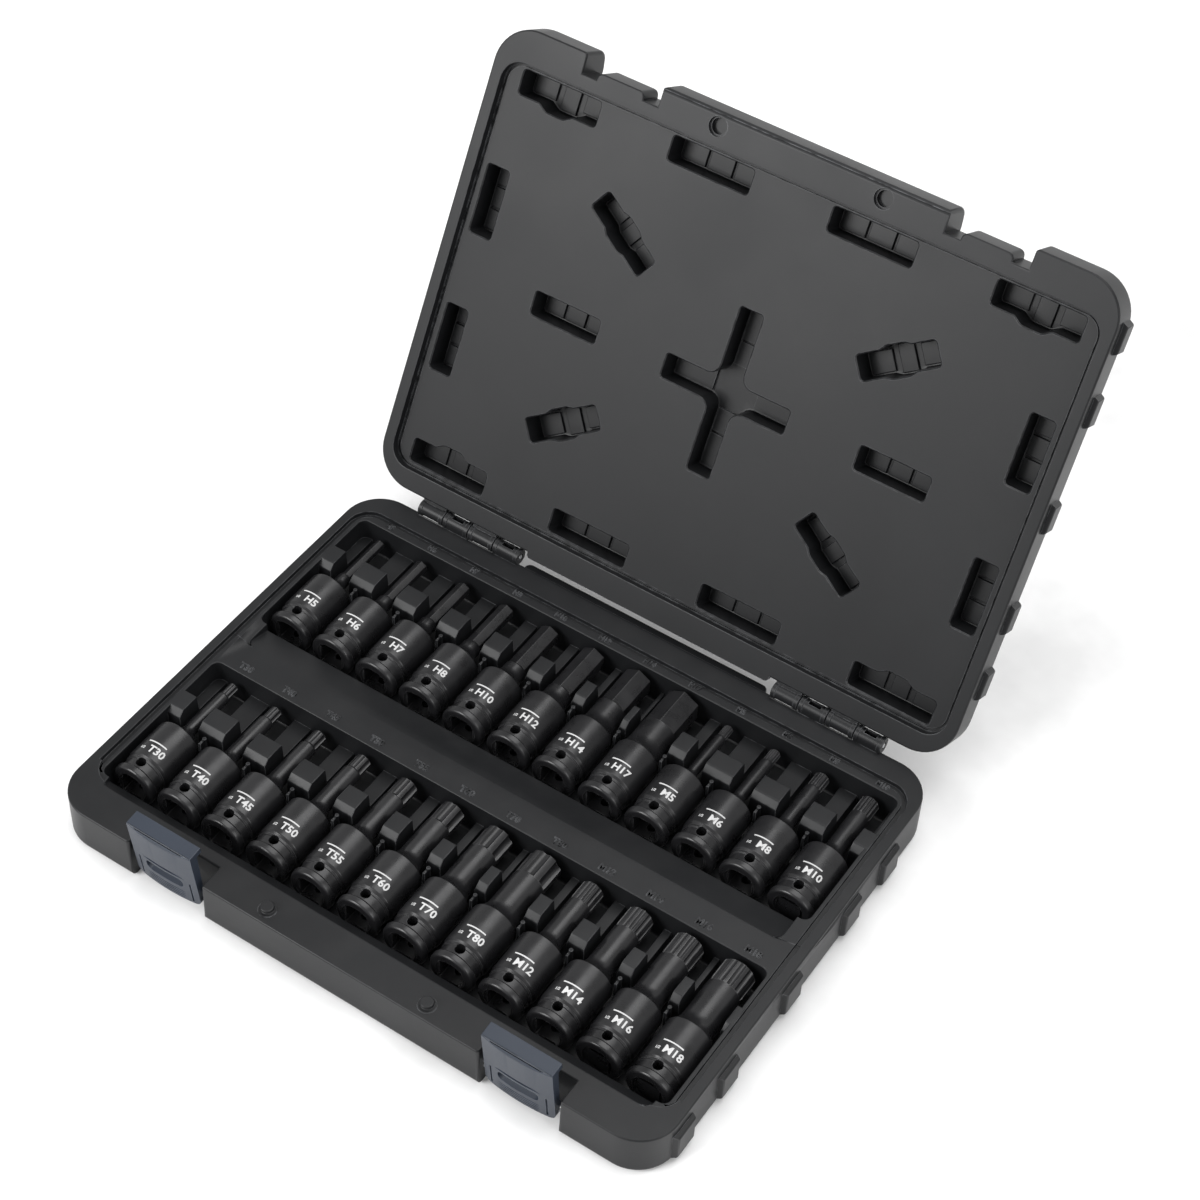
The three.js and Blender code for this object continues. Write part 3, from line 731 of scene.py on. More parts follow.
# %% One bit socket
def bit_socket(name):
    kind, size, shank, tip = bits[name]
    start, radius = drive_end(name)
    size, shank, tip = size * mm, shank / 2 * mm, tip * mm
    shank_end = socket_length - tip
    body = turned("bit_socket_" + name, start, [
        *drive_stations(radius, shank, shank_end - 1.2 * mm),
        (shank_end, shank * 0.86),
    ])
    if kind == "hex":
        head = hex_tip(start, size, shank_end, socket_length)
    else:
        flutes, share = (6, 0.2) if kind == "star" else (12, 0.1)
        head = fluted_tip(start, size, shank, shank_end, socket_length, flutes, size * share)
    join(body, head)
    half = square_across / 2
    inside = Vector(start)
    square = block("square", inside + Vector((-half, -1 * mm, -half)), inside + Vector((half, square_depth, half)))
    round_edges(square, 0.8 * mm, 3, lambda p: not same([q.y for q in p]))
    mouth = turned("mouth", start, [(-0.5 * mm, half + 2.4 * mm), (0.9 * mm, half + 1 * mm)], sides=32)
    hole_middle = inside + Vector((0, cross_hole_from_end, 0))
    across = Vector((0, 0, 2 * radius))
    hole = bar("cross_hole", hole_middle - across, hole_middle + across, cross_hole_radius, 20)
    cut(body, square, mouth, hole)
    soften(body, 0.25 * mm, 2, lambda p: p.y < start.y + body_start + 1 * mm and
           math.hypot(p.x - start.x, p.y - hole_middle.y) < cross_hole_radius + 0.05 * mm)
    body.data.materials.append(black_steel)
    marks = etched_marks(start, radius, name.upper())
    only(body)
    marks.select_set(True)
    bpy.ops.object.join()
    finish_surface(body)
    return body


for name in names:
    place(bit_socket(name), black_steel, "socket_" + name, "socket_" + name, "black_steel")
print(len(names), "bit sockets made")

# %% [markdown]
# ## The base of the case
# The base is a blow-moulded tray with a double wall. It could be sculpted as one surface,
# but its shape is simple to say in solids: a rounded block, two wells, and what is cut or added after that.
# The big outline is rounded first, while its edges are still few. The cuts come next,
# and the edges that they leave are rounded last, by picking the sharp ones.

# %% Sizes of the base
base_edge = 4 * mm
rim_edge = 1 * mm
tray_side = case_side - 6.5 * mm
tray_front = case_front + 17.6 * mm
tray_back = case_back - 14.5 * mm
tray_corner = 11 * mm
bead_width = 2.6 * mm
bead_depth = 1.3 * mm
well_corner = 4 * mm
scoop_drop = 5 * mm
front_scoop = 8 * mm
ridge_scoop = 17 * mm
scoop_side = well_side - well_corner - 1.5 * mm
latch_places = {
    side: Vector(joints[f"latch_{side}_hinge"]["pos_m"]) for side in ("left", "right")
}
latch_width = 38 * mm
recess_half = latch_width / 2 + 3 * mm
recess_back = case_front + 13.4 * mm
above = rim + 30 * mm


def tray_outline(name, grow, low_z, high_z, front=tray_front):
    """A slab of the tray's own outline, grown outwards."""
    low = (-tray_side - grow, front - grow, low_z)
    high = (tray_side + grow, tray_back + grow, high_z)
    return rounded_slab(name, low, high, tray_corner + grow, 10)


# %% The block, its recesses and its wells
base = rounded_slab("base_moulding", (-case_side, case_front, 0), (case_side, case_back, rim), case_corner, 12)
round_edges(base, base_edge, 5, at("z", 0))

recesses = []
for middle in latch_places.values():
    low = (middle.x - recess_half, case_front - 5 * mm, -5 * mm)
    recesses.append(block("recess", low, (middle.x + recess_half, recess_back, above)))
cut(base, *recesses)
round_edges(base, 1.6 * mm, 4, lambda p: upright(p) and abs(p[0].y - case_front) < tiny and
            abs(p[0].z - p[1].z) > 10 * mm and any(
                abs(abs(p[0].x - middle.x) - recess_half) < tiny for middle in latch_places.values()))
round_edges(base, rim_edge, 3, at("z", rim))


# %% The wells, with a slope that leads a finger down to the drives
def well(front):
    """A well's cutter, with a small round at its foot."""
    low = (-well_side, front, floor_top)
    cutter = rounded_slab("well", low, (well_side, front + well_depth, above), well_corner, 5)
    round_edges(cutter, 1.5 * mm, 3, at("z", floor_top))
    return cutter


def scoop(front, length, start_z):
    """A wedge that cuts a slope, from start_z down to the drives at the well's edge."""
    wedge = block("scoop", (-scoop_side, front - length, start_z), (scoop_side, front + 3 * mm, above))
    pick(wedge, lambda p: all(abs(q.y - front - 3 * mm) < tiny and abs(q.z - start_z) < tiny for q in p))
    bpy.ops.transform.translate(value=(0, 0, -scoop_drop * (length + 3 * mm) / length))
    bpy.ops.object.mode_set(mode="OBJECT")
    round_edges(wedge, 5 * mm, 4, lambda p: upright(p) and p[0].y < front)
    return wedge


sink = tray_outline("sink", 0, tray_top, above, front=tray_front + 4 * mm)
ring = tray_outline("ring", 1.3 * mm, tray_top - bead_depth, above)
ring_core = tray_outline("ring_core", 1.3 * mm - bead_width, tray_top - bead_depth - 5 * mm, above + 5 * mm)
cut(ring, ring_core)
ring_front = block("ring_front", (-case_side, case_front, 0), (case_side, well_fronts[0] + 5 * mm, 2 * above))
cut(ring, ring_front)
cut(base, sink, ring)
cut(base, well(well_fronts[0]), well(well_fronts[1]))
cut(base, scoop(well_fronts[0], front_scoop - 1.5 * mm, rim + tiny), scoop(well_fronts[1], ridge_scoop, tray_top + tiny))
soften(base, 0.6 * mm, 3, lambda p: p.z > rim - 12 * mm and abs(p.x) < well_side + tiny and
       p.y < tray_back - 4 * mm and (p.y > well_fronts[0] - tiny or abs(p.x) < scoop_side + tiny))
soften(base, 0.35 * mm, 2, lambda p: p.z > rim - 4 * mm and p.y > well_fronts[0] + 2 * mm and p.y < case_back - 2 * mm and
       tray_side - 2 * mm < abs(p.x) < case_side - 2 * mm or tray_back - 2 * mm < p.y < case_back - 2 * mm)
print("base block has", len(base.data.polygons), "faces")

# %% [markdown]
# ## Pegs, ledges and fins
# Between two shanks stands a peg with a flat pale top and a sloped front.
# Its width follows from the two shanks beside it, so each one is worked out, not drawn.
# Behind it the floor steps up to a low ledge, and a thin fin stands between each pair of drives.

# %% Sizes of the pegs
peg_gap = 1.6 * mm
peg_length = 14.4 * mm
peg_behind_drive = 43 * mm
peg_top = rim - 1 * mm
peg_slope = 3.4 * mm
peg_draft = 0.8 * mm
ledge_top = floor_top + 8 * mm
fin_top = rim - 2 * mm
fin_half = 0.7 * mm
fin_length = 4.4 * mm
sunk = 1 * mm


def peg(left, right, front):
    """A block that narrows upwards, with a long slope at its front and rounded edges."""
    piece = block("peg", (left - peg_draft, front, floor_top - sunk), (right + peg_draft, front + peg_length, peg_top))
    pick(piece, at("z", peg_top), "FACE")
    middle = Vector(((left + right) / 2, front + peg_length / 2, peg_top))
    share = (right - left) / (right - left + 2 * peg_draft)
    bpy.ops.transform.resize(value=(share, 0.96, 1), center_override=middle)
    bpy.ops.object.mode_set(mode="OBJECT")
    low = min(v.co.y for v in piece.data.vertices if v.co.z > rim - 2 * mm)
    round_edges(piece, peg_slope, 1, lambda p: all(abs(q.y - low) < tiny and q.z > peg_top - tiny for q in p))
    soften(piece, 0.6 * mm, 2, lambda p: p.z > floor_top)
    return piece


def ledge(left, right, front, back):
    """The low step behind a peg, with a rounded top edge."""
    piece = block("ledge", (left, front, floor_top - sunk), (right, back, ledge_top))
    soften(piece, 0.5 * mm, 2, lambda p: p.z > ledge_top - tiny)
    return piece


def fin(x, back):
    """A thin post with a small round head."""
    low = (x - fin_half, back - fin_length, floor_top - sunk)
    piece = block("fin", low, (x + fin_half, back, fin_top))
    soften(piece, 0.3 * mm, 2, lambda p: p.z > floor_top)
    head = bar("fin_head", (x, back - 0.5 * mm, fin_top - 6 * mm), (x, back - 0.5 * mm, fin_top + 0.4 * mm), 1.1 * mm, 14)
    soften(head, 0.3 * mm, 2, lambda p: p.z > fin_top)
    return [piece, head]


# %% A row of pegs
def row_of_pegs(row, front):
    pieces = []
    peg_front = front + room_at_drive + peg_behind_drive
    for i in range(len(row) + 1):
        left = right = 0
        if i == 0:
            left = -well_side - 2 * mm
        else:
            left = drive_end(row[i - 1])[0].x + bits[row[i - 1]][2] / 2 * mm + peg_gap + peg_draft
        if i == len(row):
            right = well_side + 2 * mm
        else:
            right = drive_end(row[i])[0].x - bits[row[i]][2] / 2 * mm - peg_gap - peg_draft
        pieces.append(peg(left, right, peg_front))
        inset = min(1.5 * mm, (right - left) / 5)
        back = front + well_depth + 2 * mm
        pieces.append(ledge(left + inset, right - inset, peg_front + peg_length - 1 * mm, back))
        if 0 < i < len(row):
            middle = (drive_end(row[i - 1])[0].x + drive_end(row[i])[0].x) / 2
            pieces += fin(middle, front + room_at_drive + shoulder_start + 4 * mm)
    return pieces


pegs = [piece for row, front in zip(rows, well_fronts) for piece in row_of_pegs(row, front)]
print(len(pegs), "pegs, ledges and fins")
join(base, *pegs)

# %% [markdown]
# ## Small things on the base
# Two locating pins stand on the front rim, ribs stiffen the side walls,
# and the size of each bit is moulded into the tray behind it in small raised letters.

# %% Locating pins and side ribs
locator_span = 91.2 * mm
locator_y = case_front + 7.4 * mm
rib_places = [25, 62, 117, 171, 207]
rib_length = 19 * mm
extras = []
for side in (-1, 1):
    foot = Vector((side * locator_span / 2, locator_y, rim - sunk))
    pin = bar("locator", foot, foot + Vector((0, 0, 4 * mm)), 3.4 * mm, 28)
    soften(pin, 0.6 * mm, 3, lambda p: p.z > rim)
    collar = bar("collar", foot - Vector((0, 0, 0.3 * mm)), foot + Vector((0, 0, 1.4 * mm)), 4.6 * mm, 28)
    soften(collar, 0.35 * mm, 2, lambda p: p.z > rim)
    extras += [pin, collar]


def rib(side, y, low_z, high_z):
    """A short bump on a side wall. Its ends and edges slope back into the wall."""
    inner, outer = side * (case_side - 3 * mm), side * (case_side + rib_proud)
    low = (min(inner, outer), y - rib_length / 2, low_z)
    piece = block("rib", low, (max(inner, outer), y + rib_length / 2, high_z))
    pick(piece, at("x", outer), "FACE")
    middle = Vector((outer, y, (low_z + high_z) / 2))
    bpy.ops.transform.resize(value=(1, 0.72, 0.84), center_override=middle)
    bpy.ops.object.mode_set(mode="OBJECT")
    soften(piece, 0.9 * mm, 3, lambda p: abs(p.x) > case_side - 2 * mm)
    return piece


for side in (-1, 1):
    for place_back in rib_places:
        extras.append(rib(side, case_front + place_back * mm, 3 * mm, rim - 6 * mm))
join(base, *extras)

# %% Raised size marks on the tray
label_size = 5 * mm
label_rise = 0.7 * mm
labels = []
for row, y in zip(rows, (well_fronts[0] + well_depth + 4.6 * mm, well_fronts[1] + well_depth + 3.1 * mm)):
    for name in row:
        middle = Vector((drive_end(name)[0].x + 2 * mm, y, tray_top + label_rise / 4))
        labels.append(lettering(name.upper(), label_size if y < 0 else 0.8 * label_size, middle, label_rise, 0.08 * mm))
labels = merged(labels)
print("labels have", len(labels.data.polygons), "faces")

# %% [markdown]
# ## Hinge knuckles
# Each hinge is four knuckles on one steel wire: two belong to the base and two to the lid.
# A knuckle is a short tube with a ring at each end and a window that shows the wire.
# Both halves of the case use the same helper, so the knuckles always interleave.

# %% Knuckle places and shape
knuckle_length = 15.4 * mm
knuckle_gap = 0.5 * mm
knuckle_radius = 4.4 * mm
wire_radius = (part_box("hinge_pin_left")[1].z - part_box("hinge_pin_left")[0].z) / 2
hinge_middles = {
    side: sum((corner.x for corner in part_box("hinge_pin_" + side))) / 2 for side in ("left", "right")
}


def knuckle_starts(first):
    """The lowest x of every second knuckle of both hinges."""
    step = knuckle_length + knuckle_gap
    return [
        middle + (i - 1.5) * step - knuckle_length / 2
        for middle in hinge_middles.values() for i in range(first, 4, 2)
    ]


def knuckle(x, arm_low, arm_high):
    """A ringed tube on the hinge line, with an arm that reaches into its half of the case."""
    ring = 2.2 * mm
    waist = knuckle_radius - 0.45 * mm
    tube = turned("knuckle", (x, hinge.y, hinge.z), [
        (0, knuckle_radius - 0.3 * mm), (0.3 * mm, knuckle_radius), (ring, knuckle_radius),
        (ring + 0.3 * mm, waist), (knuckle_length - ring - 0.3 * mm, waist),
        (knuckle_length - ring, knuckle_radius), (knuckle_length - 0.3 * mm, knuckle_radius),
        (knuckle_length, knuckle_radius - 0.3 * mm),
    ], axis="X", sides=28)
    arm = block("arm", (x + 0.5 * mm, *arm_low), (x + knuckle_length - 0.5 * mm, *arm_high))
    return join(tube, arm)


def hinge_cuts(first, look):
    """The wire's bores and the windows, on the side that look gives."""
    cuts = []
    for x in knuckle_starts(first):
        start = Vector((x - 1 * mm, hinge.y, hinge.z))
        cuts.append(bar("bore", start, start + Vector((knuckle_length + 2 * mm, 0, 0)), wire_radius + 0.35 * mm, 16))
        centre = Vector((x + knuckle_length / 2, hinge.y, hinge.z)) + Vector(look) * 3.2 * mm
        half = Vector((3.4 * mm, 1.3 * mm, 1.3 * mm)) + Vector([abs(v) * 1.9 * mm for v in look])
        cuts.append(block("window", centre - half, centre + half))
    return cuts


# %% The lip between the hinges, along the back of the base
lip_half = 73 * mm
lip = block("lip", (-lip_half, case_back - 3 * mm, rim - 5 * mm), (lip_half, case_back + 3.6 * mm, rim - 0.4 * mm))
round_edges(lip, 3 * mm, 4, lambda p: upright(p) and p[0].y > case_back)
round_edges(lip, 0.6 * mm, 2, lambda p: all(q.y > case_back - 2 * mm and q.z > rim - 1 * mm for q in p))
join(base, lip)

# %% Knuckles of the base
base_arm = ((case_back - 2 * mm, hinge.z - 4.2 * mm), (hinge.y, hinge.z))
clearances = []
for x in knuckle_starts(0):
    start = Vector((x - knuckle_gap, hinge.y, hinge.z))
    end = start + Vector((knuckle_length + 2 * knuckle_gap, 0, 0))
    clearances.append(bar("notch", start, end, knuckle_radius + 0.5 * mm, 28))
cut(base, *clearances)
for x in knuckle_starts(1):
    join(base, knuckle(x, *base_arm))
cut(base, *hinge_cuts(1, (0, 0, 1)))
base.data.materials.clear()
base.data.materials.append(case_plastic)
labels.data.materials.clear()
labels.data.materials.append(case_plastic)
only(base)
labels.select_set(True)
bpy.ops.object.join()
finish_surface(base)
place(base, case_plastic, "base", "base_shell", "case_plastic")

# %% [markdown]
# ## The lid
# The lid is modelled shut, where every size can be read straight off the base, and turned open at the end.
# Its inner panel is pinched towards the outer skin in small deep pockets, which stiffen a double wall.
# Each pocket is one cutter with rounded corners. Low pads are left standing on its floor.

# %% Sizes of the lid
lid_edge = 6 * mm
panel = rim + 4.5 * mm
pocket_floor = lid_top - 3 * mm
pocket_half = 6.5 * mm
pad_rise = 1.4 * mm
tab_top = rim + 16.3 * mm
tab_half = 13.5 * mm
tab_front = case_front + 6.6 * mm
notch_back = case_front + 10.6 * mm
hook_pocket_back = case_front + 17 * mm
panel_middle = (tray_front + tray_back) / 2

# %% The outer shell with its rounded top
lid = rounded_slab("lid_moulding", (-case_side, case_front, lid_under), (case_side, lid_back, lid_top), case_corner, 12)
round_edges(lid, lid_edge, 6, at("z", lid_top))

# %% [markdown]
# The back of the lid is seen when the case lies shut or stands open, so it gets the plain raised frame
# and the stiffening ribs that a blow-moulded lid has.

# %% Outer panel and side ribs
outside = rounded_slab("outside", (-case_side + 30 * mm, case_front + 42 * mm, lid_top - 0.9 * mm),
                       (case_side - 30 * mm, lid_back - 34 * mm, above + lid_top), 12 * mm, 8)
cut(lid, outside)
soften(lid, 0.7 * mm, 3, lambda p: p.z > lid_top - 1 * mm)
lid_ribs = [
    rib(side, case_front + place_back * mm, lid_under + 6 * mm, lid_top - 5 * mm)
    for side in (-1, 1) for place_back in rib_places
]
join(lid, *lid_ribs)


# %% Latch notches, hook pockets and tabs along the free edge
def tab(x):
    """The lip that a latch hooks over, with rounded corners."""
    piece = block("tab", (x - tab_half, tab_front, lid_under), (x + tab_half, hook_pocket_back + 3 * mm, tab_top))
    round_edges(piece, 3 * mm, 4, lambda p: upright(p) and p[0].y < tab_front + tiny)
    soften(piece, 0.8 * mm, 3, lambda p: p.y < hook_pocket_back)
    return piece


free_edge_cuts = []
for middle in latch_places.values():
    left, right = middle.x - recess_half, middle.x + recess_half
    free_edge_cuts.append(block("notch", (left, case_front - 5 * mm, 0), (right, notch_back, 2 * lid_top)))
    free_edge_cuts.append(block("hook_pocket", (left, case_front - 5 * mm, tab_top - tiny),
                                (right, hook_pocket_back, 2 * lid_top)))
cut(lid, *free_edge_cuts)
soften(lid, 2 * mm, 4, lambda p: p.y < notch_back - 1 * mm and lid_under < p.z < lid_top and any(
    abs(abs(p.x - middle.x) - recess_half) < tiny for middle in latch_places.values()))
join(lid, *[tab(middle.x) for middle in latch_places.values()])
round_edges(lid, rim_edge, 3, lambda p: at("z", lid_under)(p) and any(
    abs(q.x) > tray_side or q.y < tray_front or q.y > tray_back for q in p) and not all(
    abs(abs(q.x) - abs(latch_places["left"].x)) < tab_half + tiny for q in p))


# %% The sunken panel with a groove round it
dish = tray_outline("dish", 0, 0, panel)
groove = tray_outline("groove", -0.6 * mm, 0, panel + 1.1 * mm)
groove_core = tray_outline("groove_core", -1.9 * mm, -5 * mm, panel + 5 * mm)
cut(groove, groove_core)
cut(lid, dish)
soften(lid, 0.5 * mm, 2, lambda p: p.z < lid_under + tiny and abs(p.x) < tray_side + tiny and
       tray_front - tiny < p.y < tray_back + tiny)
cut(lid, groove)
for side in (-1, 1):
    foot = Vector((side * locator_span / 2, locator_y, 0))
    cut(lid, bar("locator_hole", foot, (foot.x, foot.y, lid_under + 4.2 * mm), 4.1 * mm, 28))
    cut(lid, bar("collar_room", foot, (foot.x, foot.y, lid_under + 1.6 * mm), 5.1 * mm, 32))


# %% Pocket shapes
def flare(cutter, lip=0.6 * mm):
    """Widens a cutter where it enters the panel, so that it leaves a mouth with a sloped edge."""
    only(cutter)
    bpy.ops.object.mode_set(mode="EDIT")
    for z in (panel + lip, panel - 0.1 * mm):
        bpy.ops.mesh.select_all(action="SELECT")
        bpy.ops.mesh.bisect(plane_co=(0, 0, z), plane_no=(0, 0, 1))
    bpy.ops.transform.shrink_fatten(value=lip + 0.1 * mm, use_even_offset=True)
    bpy.ops.object.mode_set(mode="OBJECT")


def pocket(x, y, length, angle=0, bulges=()):
    """A pocket's cutter and the three low pads on its floor. Each bulge widens its middle to one side."""
    hole = rounded_slab("pocket", (-length / 2, -pocket_half, 0), (length / 2, pocket_half, pocket_floor), 1.8 * mm, 3)
    reach = (3 if len(bulges) == 1 else 1.6) * mm
    outer = pocket_half + reach
    for direction in bulges:
        low_y, high_y = sorted((direction * (pocket_half - 1 * mm), direction * outer))
        waist = block("waist", (-length / 4, low_y, 0), (length / 4, high_y, pocket_floor))
        pick(waist, at("y", direction * outer), "FACE")
        bpy.ops.transform.resize(value=(0.45, 1, 1), center_override=(0, direction * outer, 0))
        bpy.ops.object.mode_set(mode="OBJECT")
        round_edges(waist, 1 * mm, 2, lambda p: upright(p) and abs(p[0].y) > outer - tiny)
        join(hole, waist)
    soften(hole, 0.7 * mm, 2, lambda p: p.z > pocket_floor - tiny)
    flare(hole)
    slot = 1.3 * mm
    pad_length = (length - 4 * slot) / 3
    pads = []
    for number in (-1, 0, 1):
        middle = number * (pad_length + slot)
        half_pad = pad_length / 2 * (0.7 if bulges and number == 0 else 1)
        low_y, high_y = -pocket_half + 0.9 * mm, pocket_half - 0.9 * mm
        if number == 0:
            low_y -= reach * (-1 in bulges)
            high_y += reach * (1 in bulges)
        pad = block("pad", (middle - half_pad, low_y, pocket_floor - pad_rise),
                    (middle + half_pad, high_y, pocket_floor + sunk))
        round_edges(pad, 0.5 * mm, 2, at("z", pocket_floor - pad_rise))
        pads.append(pad)
    for piece in [hole, *pads]:
        only(piece)
        piece.rotation_euler.z = angle
        piece.location = (x, y, 0)
        bpy.ops.object.transform_apply(location=True, rotation=True, scale=True)
    return hole, pads


# %% Where the pockets lie
pocket_row = 9.6 * mm
pocket_column = 11.5 * mm
quarter = math.pi / 2
places = []
for side in (-1, 1):
    for end, row_y in ((-1, tray_front + pocket_row), (1, tray_back - pocket_row)):
        inwards = 0 if end < 0 else math.pi
        places.append(((side * (tray_side - 32.5 * mm), row_y, 46 * mm), inwards, (1,)))
        places.append(((side * 45 * mm, row_y, 46 * mm), 0, ()))
        column_y = panel_middle + end * 38 * mm
        places.append(((side * (tray_side - pocket_column), column_y, 37 * mm), quarter, ()))
        diagonal = math.atan2(end * 52, side * 78)
        places.append(((side * 78 * mm, panel_middle + end * 52 * mm, 42 * mm), diagonal, (-1, 1)))
    places.append(((side * 94.5 * mm, panel_middle, 39 * mm), 0, ()))
holes, pads = [], []
for (x, y, length), angle, bulges in places:
    hole, its_pads = pocket(x, y, length, angle, bulges)
    holes.append(hole)
    pads += its_pads
hole_count = len(holes)
print(hole_count, "pockets with", len(pads), "pads")

# %% The cross in the middle, with wide fillets between its arms
cross_long = 88 * mm
cross_short = 71 * mm
arm_across = block("arm_across", (-cross_short / 2, panel_middle - pocket_half, 0),
                   (cross_short / 2, panel_middle + pocket_half, pocket_floor))
arm_along = block("arm_along", (-pocket_half, panel_middle - cross_long / 2, 0),
                  (pocket_half, panel_middle + cross_long / 2, pocket_floor))
cross = join(arm_across, arm_along)
round_edges(cross, 6 * mm, 4, lambda p: upright(p) and abs(p[0].x) < pocket_half + tiny and
            abs(p[0].y - panel_middle) < pocket_half + tiny)
round_edges(cross, 1.6 * mm, 3, lambda p: upright(p) and (abs(p[0].x) > cross_short / 2 - tiny or
            abs(p[0].y - panel_middle) > cross_long / 2 - tiny))
round_edges(cross, 1 * mm, 2, at("z", pocket_floor))
flare(cross)
for share in (-1, 1):
    for start, end in ((12 * mm, 24 * mm), (25.4 * mm, cross_long / 2 - 1.2 * mm)):
        low_y, high_y = sorted((panel_middle + share * start, panel_middle + share * end))
        pads.append(block("pad", (-5.4 * mm, low_y, pocket_floor - pad_rise), (5.4 * mm, high_y, pocket_floor + sunk)))
    low_x, high_x = sorted((share * 12 * mm, share * (cross_short / 2 - 1.2 * mm)))
    pads.append(block("pad", (low_x, panel_middle - 5.4 * mm, pocket_floor - pad_rise),
                      (high_x, panel_middle + 5.4 * mm, pocket_floor + sunk)))
for hole in [cross, *holes]:
    cut(lid, hole)
join(lid, *pads)
print("The lid has", hole_count + 1, "pockets and", len(lid.data.polygons), "faces")

# %% The matching lip on the lid
lid_lip = block("lid_lip", (-lip_half, lid_back - 3 * mm, lid_under), (lip_half, lid_back + 2.8 * mm, lid_under + 2.6 * mm))
round_edges(lid_lip, 2 * mm, 4, lambda p: upright(p) and p[0].y > lid_back)
join(lid, lid_lip)

# %% The lid's knuckles, then the turn that opens it
lid_arm = ((lid_back - 3 * mm, lid_under + 1 * mm), (hinge.y, hinge.z + 4.2 * mm))
for x in knuckle_starts(0):
    join(lid, knuckle(x, *lid_arm))
cut(lid, *hinge_cuts(0, (0, -1, 0)))
lid.data.materials.clear()
only(lid)
bpy.context.scene.cursor.location = hinge
bpy.ops.object.origin_set(type="ORIGIN_CURSOR")
lid.rotation_euler.x = -lid_open_angle
bpy.ops.object.transform_apply(location=True, rotation=True, scale=True)
bpy.context.scene.cursor.location = (0, 0, 0)
finish_surface(lid)
place(lid, case_plastic, "lid", "lid_shell", "case_plastic")

# %% [markdown]
# ## The latches
# A latch is a small moulded clip that swings on a steel wire. Its foot sits round the wire, its wall
# bows out under a thumb, and its hook snaps over the lid's tab. Each latch is cut from one block:
# the inside is hollowed, the front is shaved to a bow, and the window and grip ribs come last.
# It is modelled upright about its wire and then leant back a little, as an open latch rests.

# %% Sizes of a latch, measured from its wire
latch_half = latch_width / 2
latch_foot = -4 * mm
latch_top = 36.4 * mm
hook_under = 32.8 * mm
wall_front = -5.5 * mm
wall_back = -2.5 * mm
hook_tip = 4.1 * mm
cheek_width = 2.4 * mm
rest_angle = math.radians(6)
barrel_radius = 3.4 * mm
pin_radius = (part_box("latch_pin_left")[1].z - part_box("latch_pin_left")[0].z) / 2


# %% One latch about its wire
def hollowed_body():
    """The clip's outside, with the room for the lid's tab taken out."""
    body = block("latch_moulding", (-latch_half, wall_front, latch_foot), (latch_half, hook_tip, latch_top))
    round_edges(body, 2.6 * mm, 5, lambda p: all(abs(q.y - wall_front) < tiny for q in p) and
                all(abs(q.z - latch_top) < tiny for q in p))
    round_edges(body, 3.4 * mm, 4, lambda p: same([q.z for q in p]) and same([q.x for q in p]) and p[0].z < 0)
    inside = block("inside", (-latch_half + cheek_width, wall_back, latch_foot - 5 * mm),
                   (latch_half - cheek_width, 30 * mm, hook_under))
    slant = block("slant", (-30 * mm, 0.6 * mm, -30 * mm), (30 * mm, 30 * mm, hook_under))
    pick(slant, lambda p: all(q.y < 1 * mm and q.z < 0 for q in p))
    bpy.ops.transform.translate(value=(0, -1.6 * mm, 0))
    bpy.ops.object.mode_set(mode="OBJECT")
    ends = []
    for side in (-1, 1):
        low_x, high_x = sorted((side * 14.5 * mm, side * 30 * mm))
        end = block("end", (low_x, 0, hook_under - 6 * mm), (high_x, 30 * mm, latch_top + 5 * mm))
        pick(end, lambda p: upright(p) and abs(p[0].y) < tiny and abs(p[0].x) < 15 * mm)
        bpy.ops.transform.translate(value=(side * 5.5 * mm, 0, 0))
        bpy.ops.object.mode_set(mode="OBJECT")
        ends.append(end)
    cut(body, inside)
    cut(body, slant)
    cut(body, *ends)
    return body


def bowed(body):
    """Keeps what lies inside a wide upright cylinder, so that the wall bows out in the middle."""
    bow_radius = 112 * mm
    centre_y = wall_front + bow_radius
    drum = bar("drum", (0, centre_y, -20 * mm), (0, centre_y, 60 * mm), bow_radius, 256, turn=math.pi / 256)
    return combine(body, [drum], "INTERSECT")


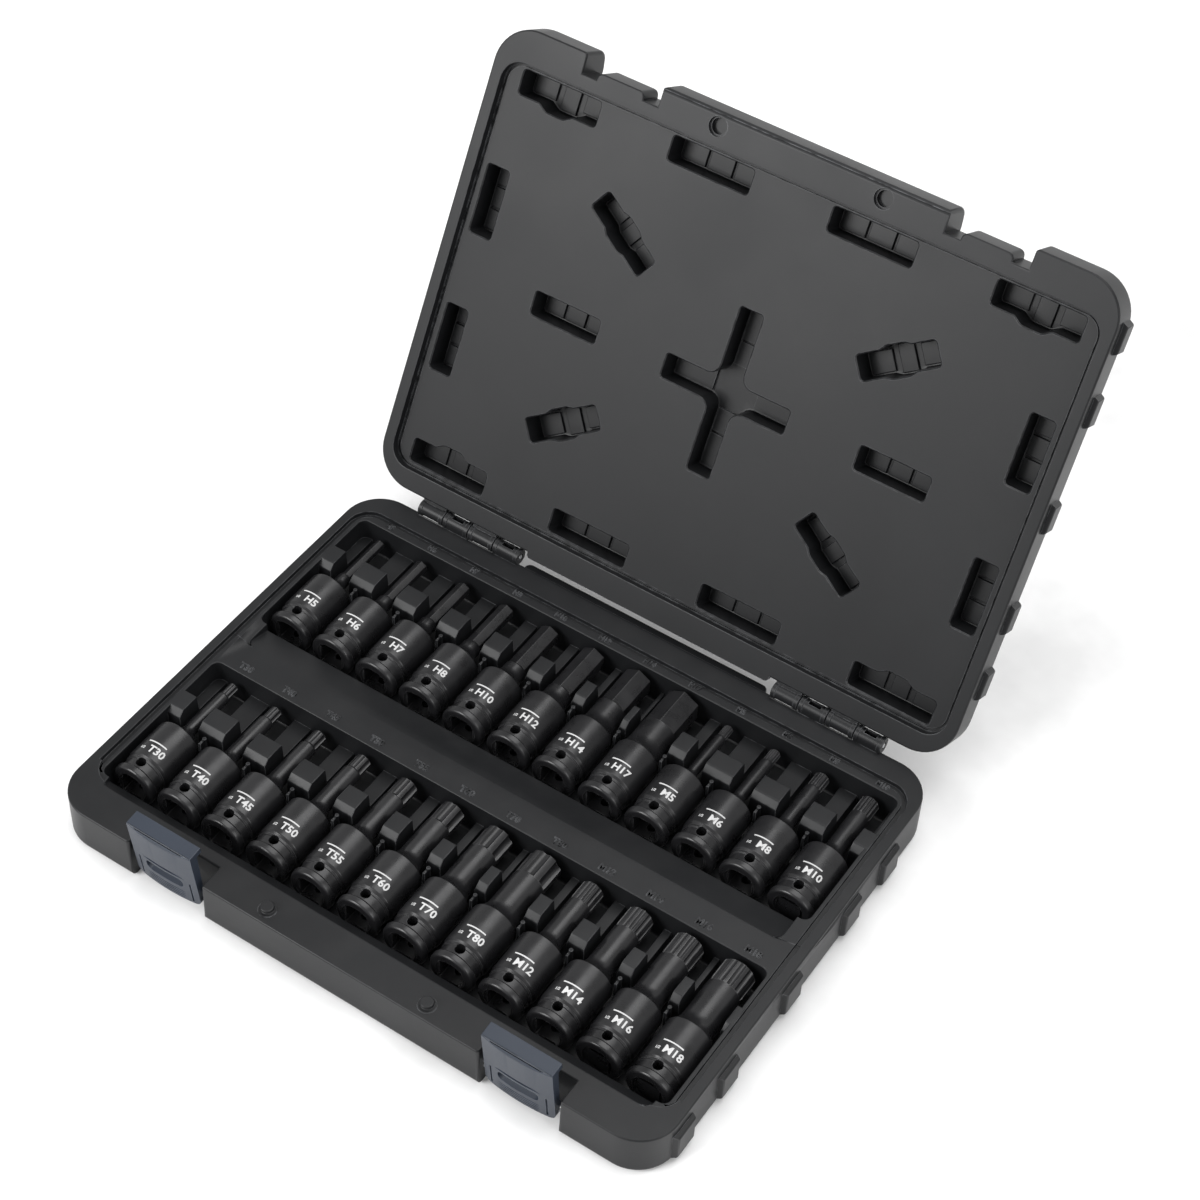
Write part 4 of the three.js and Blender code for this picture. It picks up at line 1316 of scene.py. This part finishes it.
def latch():
    """A finished clip at the origin, its wire along X."""
    body = bowed(hollowed_body())
    half = latch_half - cheek_width
    barrel_reach = 2 * half + 2 * mm
    barrel = turned("barrel", (-half - 1 * mm, 0, 0), [(0, barrel_radius), (barrel_reach, barrel_radius)], axis="X", sides=32)
    saddle = block("saddle", (-half - 1.2 * mm, wall_back - 0.6 * mm, -barrel_radius + 0.3 * mm),
                   (half + 1.2 * mm, 0, barrel_radius - 0.3 * mm))
    join(body, barrel)
    join(body, saddle)
    cut(body, bar("bore", (-latch_half - 5 * mm, 0, 0), (latch_half + 5 * mm, 0, 0), pin_radius + 0.2 * mm, 24))
    window = block("window", (-11 * mm, wall_front - 5 * mm, 6.4 * mm), (11 * mm, wall_back + 1 * mm, 13.2 * mm))
    round_edges(window, 2.6 * mm, 5, lambda p: same([q.x for q in p]) and same([q.z for q in p]))
    step = block("step", (-12.4 * mm, wall_front - 5 * mm, 14.6 * mm), (12.4 * mm, wall_front + 0.7 * mm, 16.4 * mm))
    cut(body, window)
    cut(body, step)
    for side in (-1, 1):
        low_x, high_x = sorted((side * 14.6 * mm, side * 15.6 * mm))
        cut(body, block("slit", (low_x, wall_front - 5 * mm, -2.4 * mm), (high_x, wall_front + 1.6 * mm, 12.6 * mm)))
    for line in range(4):
        z = latch_foot + (1.6 + 1.7 * line) * mm
        cut(body, block("grip", (-12 * mm, wall_front - 5 * mm, z), (12 * mm, wall_front + 0.6 * mm, z + 0.8 * mm)))
    soften(body, 0.45 * mm, 2, lambda p: p.z > 17.5 * mm, angle=40)
    return body


# %% Both latches, leant back on their wires
for side, pivot in latch_places.items():
    clip = latch()
    clip.data.materials.clear()
    only(clip)
    clip.rotation_euler.x = rest_angle
    clip.location = pivot
    bpy.ops.object.transform_apply(location=True, rotation=True, scale=True)
    clip.name = f"latch_moulding_{side}"
    finish_surface(clip)
    place(clip, latch_plastic, f"latch_{side}", f"latch_{side}", "latch_plastic")

# %% [markdown]
# ## The wires
# Four straight steel wires hold everything together: one through each hinge and one through each latch.
# A wire is cut to length and its ends are rounded so that it can be pushed in without scraping the plastic.

# %% Hinge and latch wires
for node in ("hinge_pin_left", "hinge_pin_right", "latch_pin_left", "latch_pin_right"):
    low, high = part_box(node)
    radius = (high.z - low.z) / 2
    length = high.x - low.x
    round_end = 0.5 * mm
    stations = [(0, radius - round_end)]
    for step in (1, 2, 3):
        turn = step / 3 * quarter
        stations.append((round_end * (1 - math.cos(turn)), radius - round_end * (1 - math.sin(turn))))
    stations += [(length - along, wide) for along, wide in reversed(stations)]
    wire_piece = turned(f"{node}_wire", (low.x, (low.y + high.y) / 2, (low.z + high.z) / 2), stations, axis="X", sides=32)
    wire_piece.data.materials.clear()
    finish_surface(wire_piece)
    place(wire_piece, pin_steel, "base", node, "pin_steel")
    print(node, "is", round(length / mm, 1), "mm long and", round(2 * radius / mm, 1), "mm thick")
